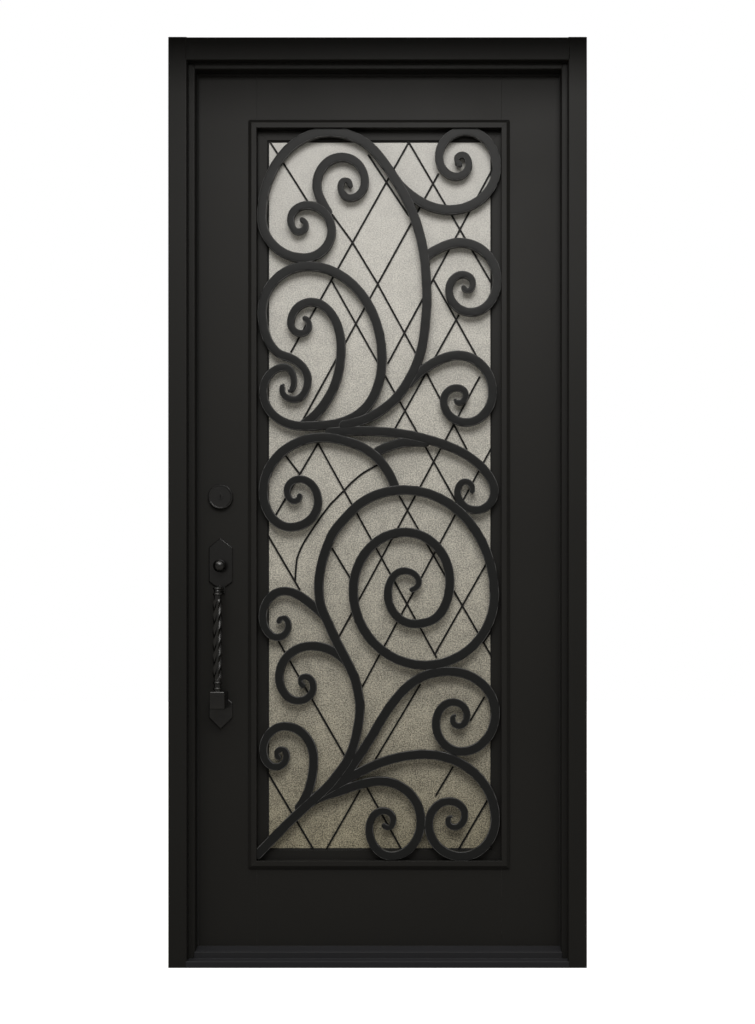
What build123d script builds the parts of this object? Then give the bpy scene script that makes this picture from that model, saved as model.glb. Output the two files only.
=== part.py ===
from build123d import *
import os
from math import cos, exp, hypot, radians, sin, tan

# Single inward-swinging entry door: steel frame, steel leaf with one tall glazed panel,
# forged scrollwork welded into the panel, thumb-latch handle and deadbolt.
# X runs to the right seen from outside, Y runs into the house, Z is up.
# The origin is on the floor, at the middle of the frame's width and depth.

# Overall sizes
door_width = 914.4
door_height = 2032.0
frame_depth = 116.0

# Frame section, depths measured back from the exterior face
jamb_face = 41.0
head_face = 50.0
stop_depth = 24.0
stop_width = 14.0
head_stop = 12.0
stop_back = 59.0
rebate_set_back = 1.0
lip_radius = 3.0

# Threshold section
sill_nose = 14.0
sill_ledge = 16.0
sill_riser = 30.0
sill_crest = 36.0
sill_track = 20.0

# Leaf
leaf_thickness = 51.0
leaf_gap = 5.5
lock_bevel = 2.5
stile_width = 139.7
top_rail_height = 125.5
panel_bottom = 225.0
seal_clearance = 0.4
seal_width = 8.0

# Moulding round the panel
bead_width = 18.5
bead_height = 8.0
bead_bevel = 7.5
bead_drop = 5.0
bead_corner = 4.0

# Glazing
sash_width = 21.0
sash_front = 17.0
sash_depth = 32.0
sash_lip = 6.0
glass_thickness = 22.0
glass_edge = 1.5

# Ironwork
scroll_thickness = 12.0
scroll_front = -3.0
scroll_body = 21.0
scroll_tip = 12.0
scroll_taper = 120.0
tightest_bend = 1.3
straight_enough = 0.01
lattice_width = 4.0
lattice_thickness = 3.0

# Hinges
hinge_radius = 9.0
hinge_clearance = 0.5
hinge_half = 50.0
hinge_wing = 38.0
hinge_leaf = 5.0
pin_radius = 6.0
pin_clearance = 0.05
pin_length = 40.0
pin_head_room = 1.0
bearing_gap = 0.3
hinge_foot = 180.0
hinge_head_drop = 252.5

# Handle set, the drops and rises measured from the thumb piece
backset = 60.0
plate_width = 52.0
plate_thickness = 6.0
plate_chamfer = 1.5
plate_cut_x = 15.0
plate_cut_z = 11.0
top_plate_drop = 45.0
top_plate_shoulder_rise = 42.0
top_plate_apex_rise = 63.0
low_plate_point_drop = 362.0
low_plate_shoulder_drop = 336.0
low_plate_top_drop = 291.0
tongue_width = 20.0
tongue_drop = 16.0
grip_reach = 42.0
grip_top_drop = 50.0
grip_neck_radius = 8.0
grip_bend = 9.0
twist_top_drop = 72.0
twist_bottom_drop = 250.0
twist_side = 15.0
twist_pitch = 122.0
collar_radius = 10.0
collar_height = 5.0
collar_drops = (52.0, 64.0, 258.0, 271.0)
boss_width = 34.0
boss_bottom_drop = 315.0
boss_top_drop = 276.0
boss_front = 10.0
boss_edge = 3.0

# Thumb piece
thumb_radius = 14.0
thumb_dome = 12.0
thumb_back = 5.0
thumb_reach = 19.0
thumb_neck = 8.0
thumb_hub_radius = 6.0
thumb_ear_rise = 1.0
thumb_hub_length = 12.0
thumb_pin_radius = 2.5
thumb_ear = 4.0
thumb_side_gap = 0.5
thumb_pivot_depth = 9.0
thumb_slot_width = 12.0
thumb_slot_low = 11.0
thumb_slot_high = 7.0
thumb_mortise_height = 26.0

# Deadbolt, knob and edge plates
deadbolt_height = 1033.0
lock_spacing = 154.0
rose_radius = 27.5
rose_height = 10.5
rose_rim_width = 3.0
rose_rim_rise = 1.2
rose_edge = 1.5
key_radius = 6.5
key_clearance = 0.05
key_slot_width = 2.2
key_slot_height = 8.5
key_slot_depth = 6.0
knob_outline = [
    (33.0, 0.0), (33.0, 4.5), (25.0, 9.0), (11.5, 12.0), (10.0, 28.0), (21.5, 34.0),
    (27.0, 46.5), (23.0, 57.5), (11.0, 62.0),
]
turn_outline = [(28.0, 0.0), (28.0, 4.5), (19.5, 9.0), (11.0, 10.0)]
turn_length = 34.0
turn_root = 9.0
turn_reach = 26.0
turn_thickness = 8.0
turn_rounding = 3.6
faceplate_width = 25.0
faceplate_height = 57.0
faceplate_thickness = 2.0
strike_height = 70.0
bolt_width = 13.0
bolt_height = 24.0
bolt_recess = 16.0

# Anchor screw holes through the jambs
anchor_radius = 5.0
anchor_depth = 88.0
anchor_heights = (420.0, 700.0, 1350.0, 1600.0)

# Places worked out from the sizes above
half_width = door_width / 2
face_y = -frame_depth / 2
back_y = frame_depth / 2
jamb_inner = half_width - jamb_face
stop_inner = jamb_inner - stop_width
rebate_x = jamb_inner + rebate_set_back
head_inner = door_height - head_face
head_rebate = head_inner + rebate_set_back
leaf_x = rebate_x - leaf_gap
leaf_y = back_y - leaf_thickness
leaf_bottom = sill_track + leaf_gap
leaf_top = head_rebate - leaf_gap
panel_x = leaf_x - stile_width
panel_width = 2 * panel_x
panel_top = leaf_top - top_rail_height
panel_height = panel_top - panel_bottom
sight_x = panel_x - sash_width
sight_bottom = panel_bottom + sash_width
sight_top = panel_top - sash_width
sash_y = leaf_y + sash_front
glass_y = sash_y + sash_lip
hinge_x = (leaf_x + rebate_x) / 2
hinge_y = back_y + hinge_radius + hinge_clearance
hinge_top = leaf_top - hinge_head_drop
hinge_heights = (hinge_foot, (hinge_foot + hinge_top) / 2, hinge_top)
handle_x = -(leaf_x - backset)
plate_y = leaf_y - plate_thickness
grip_y = plate_y - grip_reach
thumb_pivot_y = leaf_y + thumb_pivot_depth
thumb_height = deadbolt_height - lock_spacing
top_plate_bottom = thumb_height - top_plate_drop
top_plate_shoulder = thumb_height + top_plate_shoulder_rise
top_plate_apex = thumb_height + top_plate_apex_rise
low_plate_point = thumb_height - low_plate_point_drop
low_plate_shoulder = thumb_height - low_plate_shoulder_drop
low_plate_top = thumb_height - low_plate_top_drop
grip_top = thumb_height - grip_top_drop
twist_top = thumb_height - twist_top_drop
twist_bottom = thumb_height - twist_bottom_drop
collar_heights = tuple(thumb_height - drop for drop in collar_drops)
boss_bottom = thumb_height - boss_bottom_drop
boss_top = thumb_height - boss_top_drop


def drawing_scale():
    """How many times wider and higher the panel is than the ironwork's drawing of it."""
    drawn_width = 544.0
    drawn_height = 1627.0
    return panel_width / drawn_width, panel_height / drawn_height


def fitted(x, z):
    """A point of the ironwork's drawing, placed in the panel."""
    drawn_middle = 2.8
    drawn_bottom = 220.0
    across, up = drawing_scale()
    return (x - drawn_middle) * across, panel_bottom + (z - drawn_bottom) * up


def block(x0, x1, y0, y1, z0, z1):
    """A box between two corners."""
    size = Box(x1 - x0, y1 - y0, z1 - z0)
    return Pos((x0 + x1) / 2, (y0 + y1) / 2, (z0 + z1) / 2) * size


def upright(points, z0, z1):
    """A section of (x, y) points, extruded from z0 up to z1."""
    face = make_face(Polyline(*points, close=True))
    return extrude(Pos(0, 0, z0) * face, z1 - z0, dir=(0, 0, 1))


def crossbar(points, x0, x1):
    """A section of (y, z) points, extruded along X."""
    face = make_face(Plane.YZ * Polyline(*points, close=True))
    return extrude(Pos(x0, 0, 0) * face, x1 - x0, dir=(1, 0, 0))


def slab(outline, y0, y1):
    """An outline of (x, z) points, extruded along Y from y0 to y1."""
    corners = [(x, y0, z) for x, z in outline]
    face = make_face(Polyline(*corners, close=True))
    return extrude(face, y1 - y0, dir=(0, 1, 0))


def rod(radius, start, end):
    """A round rod between two points."""
    along = Vector(*end) - Vector(*start)
    plane = Plane(origin=start, z_dir=along)
    return extrude(plane * Circle(radius), along.length)


def edges_along(solid, axis, places):
    """Edges parallel to an axis whose centres lie at one of the (u, v) places across it."""
    pick = {Axis.X: ("Y", "Z"), Axis.Z: ("X", "Y")}[axis]
    found = []
    for edge in solid.edges().filter_by(axis):
        centre = edge.center()
        at = (getattr(centre, pick[0]), getattr(centre, pick[1]))
        if any(hypot(at[0] - u, at[1] - v) < 0.01 for u, v in places):
            found.append(edge)
    return found


# Frame
def hinge_side_jamb():
    """The right jamb: face, stop and rebate in one section, its lips rounded."""
    section = [
        (half_width, face_y),
        (jamb_inner, face_y),
        (jamb_inner, face_y + stop_depth),
        (stop_inner, face_y + stop_depth),
        (stop_inner, face_y + stop_back),
        (rebate_x, face_y + stop_back),
        (rebate_x, back_y),
        (half_width, back_y),
    ]
    jamb = upright(section, 0, door_height)
    lips = edges_along(jamb, Axis.Z, [section[0], section[1], section[3], section[4]])
    jamb = fillet(lips, lip_radius)
    for height in anchor_heights:
        start = (rebate_x - 1, face_y + anchor_depth, height)
        end = (half_width + 1, face_y + anchor_depth, height)
        jamb -= rod(anchor_radius, start, end)
    return jamb


def strike_side_jamb():
    """The left jamb: the right one mirrored, let in for the two strike plates."""
    jamb = mirror(hinge_side_jamb(), about=Plane.YZ)
    middle = leaf_y + leaf_thickness / 2
    for height in (thumb_height, deadbolt_height):
        jamb -= block(
            -rebate_x - faceplate_thickness,
            -rebate_x + 1,
            middle - faceplate_width / 2,
            middle + faceplate_width / 2,
            height - strike_height / 2,
            height + strike_height / 2,
        )
        jamb -= block(
            -rebate_x - bolt_recess,
            -rebate_x,
            middle - bolt_width / 2,
            middle + bolt_width / 2,
            height - bolt_height / 2,
            height + bolt_height / 2,
        )
    return jamb


def strike_plates():
    """Two plates flush with the rebate, each with a hole for its bolt."""
    middle = leaf_y + leaf_thickness / 2
    plates = []
    for height in (thumb_height, deadbolt_height):
        plate = block(
            -rebate_x - faceplate_thickness,
            -rebate_x,
            middle - faceplate_width / 2,
            middle + faceplate_width / 2,
            height - strike_height / 2,
            height + strike_height / 2,
        )
        hole = block(
            -rebate_x - faceplate_thickness,
            -rebate_x,
            middle - bolt_width / 2,
            middle + bolt_width / 2,
            height - bolt_height / 2,
            height + bolt_height / 2,
        )
        plates.append(plate - hole)
    return plates


def head_bar(jambs):
    """The head, coped round the jambs."""
    section = [
        (face_y, door_height),
        (face_y, head_inner),
        (face_y + stop_depth, head_inner),
        (face_y + stop_depth, head_inner - head_stop),
        (face_y + stop_back, head_inner - head_stop),
        (face_y + stop_back, head_rebate),
        (back_y, head_rebate),
        (back_y, door_height),
    ]
    head = crossbar(section, -half_width + lip_radius, half_width - lip_radius)
    lips = edges_along(head, Axis.X, [section[0], section[1], section[3], section[4]])
    head = fillet(lips, lip_radius)
    for jamb in jambs:
        head -= jamb
    return largest(head)


def threshold_bar(jambs):
    """The threshold, stepped up to a crest that the leaf closes behind."""
    section = [
        (face_y, 0),
        (face_y, sill_nose),
        (face_y + stop_depth, sill_ledge),
        (face_y + stop_depth, sill_riser),
        (face_y + stop_back, sill_crest),
        (face_y + stop_back, sill_track),
        (back_y, sill_track),
        (back_y, 0),
    ]
    sill = crossbar(section, -half_width + lip_radius, half_width - lip_radius)
    lips = edges_along(sill, Axis.X, [section[1], section[3]])
    sill = fillet(lips, lip_radius / 2)
    for jamb in jambs:
        sill -= jamb
    return largest(sill)


def weather_seals():
    """Rubber strips on the back of the stops, just short of the leaf."""
    y0 = face_y + stop_back
    y1 = leaf_y - seal_clearance
    outer = leaf_x - leaf_gap / 2
    inner = outer - seal_width
    low = sill_crest
    high = leaf_top - leaf_gap / 2
    seals = [
        block(-outer, -inner, y0, y1, low, high),
        block(inner, outer, y0, y1, low, high),
        block(-inner, inner, y0, y1, high - seal_width, high),
        block(-inner, inner, y0, y1, leaf_bottom + 1, sill_crest),
    ]
    return seals


# Leaf
def hinge_stile():
    """The leaf's upright on the hinge side."""
    return block(panel_x, leaf_x, leaf_y, back_y, leaf_bottom, leaf_top)


def lock_stile():
    """The leaf's upright on the lock side, its edge bevelled so that it clears the jamb."""
    section = [
        (-panel_x, leaf_y),
        (-panel_x, back_y),
        (-leaf_x, back_y),
        (-leaf_x + lock_bevel, leaf_y),
    ]
    stile = upright(section, leaf_bottom, leaf_top)
    middle = leaf_y + leaf_thickness / 2
    edge = -leaf_x + lock_bevel
    for height in (thumb_height, deadbolt_height):
        stile -= block(
            -leaf_x - 1,
            edge + faceplate_thickness,
            middle - faceplate_width / 2,
            middle + faceplate_width / 2,
            height - faceplate_height / 2,
            height + faceplate_height / 2,
        )
    pocket_half = thumb_hub_length / 2 + thumb_side_gap + thumb_ear + thumb_side_gap
    stile -= block(
        handle_x - pocket_half,
        handle_x + pocket_half,
        leaf_y,
        thumb_pivot_y + thumb_hub_radius * 2,
        thumb_height - thumb_mortise_height / 2,
        thumb_height + thumb_mortise_height / 2,
    )
    return stile


def edge_faceplates():
    """Latch and deadbolt faceplates let into the lock edge, with their bolts drawn in."""
    middle = leaf_y + leaf_thickness / 2
    edge = -leaf_x + lock_bevel
    plates = []
    for height in (thumb_height, deadbolt_height):
        plate = block(
            edge,
            edge + faceplate_thickness,
            middle - faceplate_width / 2,
            middle + faceplate_width / 2,
            height - faceplate_height / 2,
            height + faceplate_height / 2,
        )
        groove = block(
            edge,
            edge + faceplate_thickness / 2,
            middle - bolt_width / 2,
            middle + bolt_width / 2,
            height - bolt_height / 2,
            height + bolt_height / 2,
        )
        nose = block(
            edge,
            edge + faceplate_thickness / 2,
            middle - bolt_width / 2 + pin_clearance * 10,
            middle + bolt_width / 2 - pin_clearance * 10,
            height - bolt_height / 2 + pin_clearance * 10,
            height + bolt_height / 2 - pin_clearance * 10,
        )
        plates.append(plate - groove + nose)
    return plates


def top_rail():
    """The leaf's top rail, between the stiles."""
    return block(-panel_x, panel_x, leaf_y, back_y, panel_top, leaf_top)


def bottom_rail():
    """The leaf's bottom rail, between the stiles."""
    return block(-panel_x, panel_x, leaf_y, back_y, leaf_bottom, panel_bottom)


def framed(bar, half, low, high, grow, side):
    """A bar of a mitred frame, cut to its own side at the corners of an opening.

    The mitres run at 45 degrees through the opening's corners, whichever side bar it is.
    """
    reach = grow * 2
    left = -half
    right = half
    cuts = {
        "left": [(left - reach, low - reach), (left + reach, low + reach),
                 (left + reach, high - reach), (left - reach, high + reach)],
        "right": [(right + reach, low - reach), (right - reach, low + reach),
                  (right - reach, high - reach), (right + reach, high + reach)],
        "bottom": [(left - reach, low - reach), (right + reach, low - reach),
                   (right - reach, low + reach), (left + reach, low + reach)],
        "top": [(left - reach, high + reach), (right + reach, high + reach),
                (right - reach, high - reach), (left + reach, high - reach)],
    }
    return bar & slab(cuts[side], face_y - reach, back_y + reach)


def beads():
    """The four mouldings round the panel, mitred, with a bevelled outer edge."""
    front = leaf_y - bead_height
    outer_front = front + bead_drop
    fall = bead_width - bead_bevel
    whole = {}
    for side in ("left", "right"):
        sign = -1 if side == "left" else 1
        section = [
            (sign * panel_x, leaf_y),
            (sign * panel_x, front),
            (sign * (panel_x + fall), front),
            (sign * (panel_x + bead_width), outer_front),
            (sign * (panel_x + bead_width), leaf_y),
        ]
        whole[side] = upright(section, panel_bottom - bead_width, panel_top + bead_width)
    for side in ("bottom", "top"):
        sign = -1 if side == "bottom" else 1
        edge = panel_bottom if side == "bottom" else panel_top
        section = [
            (leaf_y, edge),
            (front, edge),
            (front, edge + sign * fall),
            (outer_front, edge + sign * bead_width),
            (leaf_y, edge + sign * bead_width),
        ]
        whole[side] = crossbar(section, -panel_x - bead_width, panel_x + bead_width)
    outside = RectangleRounded(
        panel_width + 2 * bead_width, panel_height + 2 * bead_width, bead_corner
    )
    middle = (panel_bottom + panel_top) / 2
    rounded = extrude(Plane.XZ * outside, bead_height * 4, both=True)
    rounded = Pos(0, leaf_y, middle) * rounded
    made = {}
    for side, bar in whole.items():
        bar = framed(bar, panel_x, panel_bottom, panel_top, bead_width, side)
        made[side] = bar & rounded
    return made


def sashes():
    """The four channel bars that hold the glass, mitred inside the panel."""
    groove = glass_thickness
    y0 = sash_y
    y1 = sash_y + sash_depth
    depth = sash_width - sash_lip
    whole = {}
    for side in ("left", "right"):
        sign = -1 if side == "left" else 1
        section = [
            (sign * panel_x, y0),
            (sign * sight_x, y0),
            (sign * sight_x, glass_y),
            (sign * (sight_x + depth), glass_y),
            (sign * (sight_x + depth), glass_y + groove),
            (sign * sight_x, glass_y + groove),
            (sign * sight_x, y1),
            (sign * panel_x, y1),
        ]
        whole[side] = upright(section, panel_bottom, panel_top)
    for side in ("bottom", "top"):
        sign = 1 if side == "bottom" else -1
        edge = panel_bottom if side == "bottom" else panel_top
        sight = edge + sign * sash_width
        section = [
            (y0, edge),
            (y0, sight),
            (glass_y, sight),
            (glass_y, sight - sign * depth),
            (glass_y + groove, sight - sign * depth),
            (glass_y + groove, sight),
            (y1, sight),
            (y1, edge),
        ]
        whole[side] = crossbar(section, -panel_x, panel_x)
    made = {}
    for side, bar in whole.items():
        made[side] = framed(bar, panel_x, panel_bottom, panel_top, sash_width, side)
    return made


def glass_unit():
    """The sealed glass unit, held all round in the sash."""
    bite = sash_width - sash_lip - glass_edge
    return block(
        -sight_x - bite,
        sight_x + bite,
        glass_y,
        glass_y + glass_thickness,
        sight_bottom - bite,
        sight_top + bite,
    )


# Ironwork
# Each bar is a list of keys (x, z, heading), the heading in degrees from the right, turning up.
trunk = [
    (-272, 229, 45), (-200, 303, 45), (-147, 352, 42), (-105, 392, 52), (-69.5, 440, 62),
    (-48, 500, 78), (-40, 560, 90), (-50, 620, 105), (-78, 680, 118), (-107, 740, 112),
    (-129, 795, 98), (-131.5, 830, 90), (-104, 940, 66), (-55, 1000, 45), (60, 1044, 0),
    (259, 810, 270), (105, 654, 180), (-55, 820, 90), (60, 950, 0), (160, 842, 270),
    (135, 765, 228), (82, 746, 180), (22, 812, 90), (58, 864, 0), (91, 838, 270),
    (76, 822, 200),
]
crown = [
    (-76, 1188, 12), (-26, 1202, 22), (30, 1238, 40), (75, 1300, 62), (104, 1400, 84),
    (109, 1470, 90), (107, 1520, 93), (96, 1600, 103), (69, 1680, 114), (35, 1740, 122),
    (-10, 1800, 133), (-110, 1840, 180), (-258.5, 1652, 270), (-165, 1559.5, 0),
    (-103, 1620, 90), (-157, 1677, 180), (-194, 1645, 270), (-177, 1618, 0),
    (-160, 1633, 90), (-168, 1644, 150),
]
long_arm = [
    (-107, 1172, 5), (-60, 1175, 2), (0, 1174, -3), (60, 1167.6, -9), (120, 1153.6, -17),
    (180, 1131, -27), (240, 1084, -52), (259, 1042, 270), (219, 999, 180), (177, 1038, 90),
    (194, 1062.6, 0), (210, 1042, 265),
]
heart = [
    (-197, 1264, 0), (-187, 1286, 90), (-208, 1317, 180), (-255, 1262, 270),
    (-169, 1186, 0), (-100, 1190, 10), (-34, 1220, 42), (9, 1338, 90), (-155, 1542, 180),
    (-257.5, 1440, 270), (-208, 1342, -15), (-156, 1289, 270), (-186, 1245, 180),
    (-213, 1266, 90), (-210, 1277.5, 35),
]
arch = [
    (38, 1050, 108), (-5, 1118, 138), (-60, 1149, 163), (-122, 1161, 180),
    (-255, 1040, 270), (-194, 961, 0), (-133, 1018, 90), (-174, 1068, 180),
    (-202, 1042, 270), (-187, 1019, 0), (-174, 1030, 90),
]
lower_branch = [
    (-75, 405, 52), (-24, 480, 57), (25, 560, 55), (80, 618, 35), (158, 640.5, 0),
    (261, 548, 270), (186, 462, 180), (129, 525, 90), (167, 572, 0), (198, 543, 270),
    (181, 519, 180), (166, 532, 90), (171, 542, 20),
]
foot_branch = [
    (-140, 360, 40), (-60, 406, 28), (0, 435, 22), (60, 452, 10), (105, 456, 0),
    (261, 312, 270), (186, 229, 180), (113, 300, 90), (158, 351.7, 0), (193, 322, 270),
    (171, 294, 180), (156, 306, 90), (163, 317, 0),
]
foot_curl = [
    (-150, 348, 40), (-80, 376, 20), (5, 396.5, 0), (95.6, 308, 270), (30, 230, 180),
    (-19.5, 290, 90), (12, 330.5, 0), (34, 310, 270), (24, 293, 180), (14, 297, 140),
]
inner_heart = [
    (-165, 1190, 30), (-131, 1220, 48), (-104, 1260, 62), (-82, 1362, 90),
    (-148, 1462, 180), (-194, 1415, 270), (-171, 1392, 0), (-153, 1410, 90),
    (-162, 1425, 160),
]
crown_curl = [
    (-112, 1662, 122), (-136, 1722, 90), (-80, 1784, 0), (-29, 1730, 270),
    (-62, 1693, 180), (-83, 1718, 90), (-72, 1733, 0), (-62, 1722, 280),
]
link = [(-3, 1127, 40), (45, 1147, 15), (105, 1150, -5)]
right_curls = {
    "upper": [
        (52, 1728, -50), (80, 1700, -40), (160, 1666.5, 0), (264, 1762, 90),
        (195, 1842, 180), (136, 1785, 270), (174, 1740.5, 0), (202, 1768, 90),
        (188, 1789, 180), (174.5, 1777, 270), (182, 1768, 330),
    ],
    "middle": [
        (106, 1562, 45), (136, 1581, 27), (182, 1594, 0), (265, 1510, 270),
        (208, 1439, 180), (158, 1488, 90), (189, 1523, 0), (211, 1503, 270),
        (200, 1487, 180), (191, 1493, 120),
    ],
    "lower": [
        (70, 1282, 52), (100, 1311, 36), (178, 1343.5, 0), (255, 1262, 270),
        (196, 1194, 180), (146, 1242, 90), (175, 1271, 0), (195, 1256, 270),
        (181, 1238, 180), (172, 1243, 110),
    ],
}
left_curls = {
    "upper": [
        (-120, 764, 130), (-160, 799, 142), (-208, 819, 180), (-256, 762, 270),
        (-223, 716, 0), (-199, 743, 90), (-212, 760, 180), (-220, 752, 250),
    ],
    "middle": [
        (-72, 664, 130), (-100, 685, 150), (-148, 697, 180), (-219.5, 628, 270),
        (-177, 575, 0), (-143.5, 606, 90), (-161, 629, 180), (-173, 619, 270),
        (-167, 609, 315),
    ],
    "lower": [
        (-175, 338, 48), (-161, 360, 65), (-143, 445, 90), (-207, 518.5, 180),
        (-255, 465, 270), (-227, 428, 0), (-203, 452, 90), (-213, 467.6, 180),
        (-225, 457, 270), (-221, 449, 315),
    ],
}

# Straight lattice bars, each from one (x, z) to the other.
falling_bars = [
    ((-258, 431), (-140, 233)), ((-224, 708), (-76, 452)), ((-27, 382), (56, 234)),
    ((-254, 956), (-175.5, 822)), ((-208, 1123), (-175, 1080)), ((-104, 916), (-58, 840)),
    ((-135, 1150), (130, 671)), ((46, 1033), (256, 668)), ((-104, 1512), (177, 1014)),
    ((-247, 1831), (-154, 1684)), ((-104, 1662), (-59, 1600.5)),
    ((-59, 1600.5), (-3, 1508.5)), ((-3, 1508.5), (109.5, 1303)), ((109.5, 1303), (198, 1136)),
    ((-23, 1795), (68, 1658)), ((122, 1518), (223, 1338)), ((63, 1831), (256, 1502)),
]
rising_bars = [
    ((174, 233), (243.6, 352)), ((128, 362), (167, 427)), ((205, 529), (237, 583)),
    ((233, 702), (256, 735)), ((-122, 233), (-41, 374)), ((-7, 443), (94, 611.5)),
    ((127, 680), (240.5, 880)), ((-37, 604), (256, 1146)), ((-90, 714), (226.5, 1299)),
    ((-230, 989), (-135, 1150)), ((36.5, 1182), (180, 1437)), ((21, 1328), (256, 1765)),
    ((-169, 1202), (134.5, 1753)), ((-196, 1353), (72.5, 1831)),
]
curved_bar = [
    (-186, 840, 88), (-182, 893, 76), (-157, 943, 57), (-107, 1014, 50), (-76, 1045, 49),
    (-35, 1083, 35), (-1, 1101.5, 28),
]


def handles(start, end):
    """The handle lengths of the cubic that joins two keys as an ellipse's arc would."""
    ax, az = cos(radians(start[2])), sin(radians(start[2]))
    bx, bz = cos(radians(end[2])), sin(radians(end[2]))
    cx, cz = end[0] - start[0], end[1] - start[1]
    chord = hypot(cx, cz)
    turn = ax * bz - az * bx
    if abs(turn) > 0.02:
        first = (cx * bz - cz * bx) / turn
        second = (ax * cz - az * cx) / turn
        if 0.1 * chord < first < 3 * chord and 0.1 * chord < second < 3 * chord:
            angle = abs((end[2] - start[2] + 180) % 360 - 180)
            share = 4 / 3 * tan(radians(angle / 4)) / tan(radians(angle / 2))
            return first * share, second * share
    return chord / 3, chord / 3


def centre_line(keys, steps):
    """Points and directions along a bar's middle, a few for each stretch between keys."""
    places = [(*fitted(x, z), heading) for x, z, heading in keys]
    line = []
    for start, end in zip(places, places[1:]):
        reach_a, reach_b = handles(start, end)
        x = [start[0], start[0] + reach_a * cos(radians(start[2])),
             end[0] - reach_b * cos(radians(end[2])), end[0]]
        z = [start[1], start[1] + reach_a * sin(radians(start[2])),
             end[1] - reach_b * sin(radians(end[2])), end[1]]
        last = 1 if end is places[-1] else 0
        for i in range(steps + last):
            t = i / steps
            s = 1 - t
            weights = (s ** 3, 3 * s * s * t, 3 * s * t * t, t ** 3)
            slopes = (-s * s, s * s - 2 * s * t, 2 * s * t - t * t, t * t)
            px = sum(w * v for w, v in zip(weights, x))
            pz = sum(w * v for w, v in zip(weights, z))
            dx = sum(w * v for w, v in zip(slopes, x))
            dz = sum(w * v for w, v in zip(slopes, z))
            size = hypot(dx, dz)
            line.append((px, pz, dx / size, dz / size))
    return line


def widths(line, tips, body, tip):
    """The bar's width at each point: full in the body, drawn out towards each tip."""
    along = [0.0]
    for a, b in zip(line, line[1:]):
        along.append(along[-1] + hypot(b[0] - a[0], b[1] - a[1]))
    length = along[-1]
    found = []
    for s in along:
        away = length - s
        if tips == 2:
            away = min(s, away)
        found.append(tip + (body - tip) * (1 - exp(-away / scroll_taper)))
    for i in range(1, len(line) - 1):
        before, after = line[i - 1], line[i + 1]
        turn = abs(before[2] * after[3] - before[3] * after[2])
        radius = (along[i + 1] - along[i - 1]) / max(turn, 0.001)
        found[i] = min(found[i], radius * tightest_bend)
    found[0] = min(found[0], found[1])
    found[-1] = min(found[-1], found[-2])
    middle = [(a + 2 * b + c) / 4 for a, b, c in zip(found, found[1:], found[2:])]
    return [found[0]] + middle + [found[-1]]


def side(points):
    """One long edge of a bar: arcs, each through three points, or a line where it is straight."""
    edges = []
    for a, b, c in zip(points[::2], points[1::2], points[2::2]):
        across = (b[0] - a[0]) * (c[2] - a[2]) - (b[2] - a[2]) * (c[0] - a[0])
        chord = hypot(c[0] - a[0], c[2] - a[2])
        if abs(across) / chord < straight_enough:
            edges.append(Line(a, c))
        else:
            edges.append(ThreePointArc(a, b, c))
    return edges


def ribbon(line, wide, y0, y1, tips):
    """A flat bar that follows a line, squared off or rounded at each end."""
    left = [(x - dz * w / 2, y0, z + dx * w / 2) for (x, z, dx, dz), w in zip(line, wide)]
    right = [(x + dz * w / 2, y0, z - dx * w / 2) for (x, z, dx, dz), w in zip(line, wide)]

    def end(index, sign):
        x, z, dx, dz = line[index]
        far = sign * wide[index] / 2
        return ThreePointArc(left[index], (x + dx * far, y0, z + dz * far), right[index])

    closing = [Line(left[0], right[0]), Line(left[-1], right[-1])]
    if tips == 2:
        closing[0] = end(0, -1)
    if tips >= 1:
        closing[1] = end(-1, 1)
    face = make_face(side(left) + side(right) + closing)
    return extrude(face, y1 - y0, dir=(0, 1, 0))


def largest(shape):
    """The largest solid of a shape that a cut may have left in pieces."""
    return max(shape.solids(), key=lambda solid: solid.volume)


def scroll(keys, tips=1):
    """One scroll bar, drawn out towards its curled tip.

    In a smaller panel the bar is slimmer, as its curls are smaller too.
    """
    line = centre_line(keys, 4)
    slim = min(drawing_scale())
    wide = widths(line, tips, scroll_body * slim, scroll_tip * slim)
    y0 = leaf_y + scroll_front
    return ribbon(line, wide, y0, y0 + scroll_thickness, tips)


def scrollwork():
    """Every scroll bar, cut to the panel and fitted against the bars it is welded to."""
    y0 = leaf_y + scroll_front
    inside = block(-panel_x, panel_x, y0, y0 + scroll_thickness, panel_bottom, panel_top)
    order = [
        ("trunk_scroll", trunk, 1), ("crown_scroll", crown, 1), ("heart_scroll", heart, 2),
        ("arch_scroll", arch, 1), ("long_arm_scroll", long_arm, 1),
        ("lower_branch_scroll", lower_branch, 1), ("foot_branch_scroll", foot_branch, 1),
        ("foot_curl_scroll", foot_curl, 1), ("inner_heart_scroll", inner_heart, 1),
        ("crown_curl_scroll", crown_curl, 1), ("link_scroll", link, 0),
    ]
    order += [("right_curl_scrolls", keys, 1) for keys in right_curls.values()]
    order += [("left_curl_scrolls", keys, 1) for keys in left_curls.values()]
    made = {}
    placed = []
    for name, keys, tips in order:
        bar = scroll(keys, tips) & inside
        reach = bar.bounding_box()
        for other, box in placed:
            apart = (
                box.max.X < reach.min.X or reach.max.X < box.min.X
                or box.max.Z < reach.min.Z or reach.max.Z < box.min.Z
            )
            if not apart:
                bar -= other
        bar = largest(bar)
        placed.append((bar, bar.bounding_box()))
        made.setdefault(name, []).append(bar)
    return made


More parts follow.
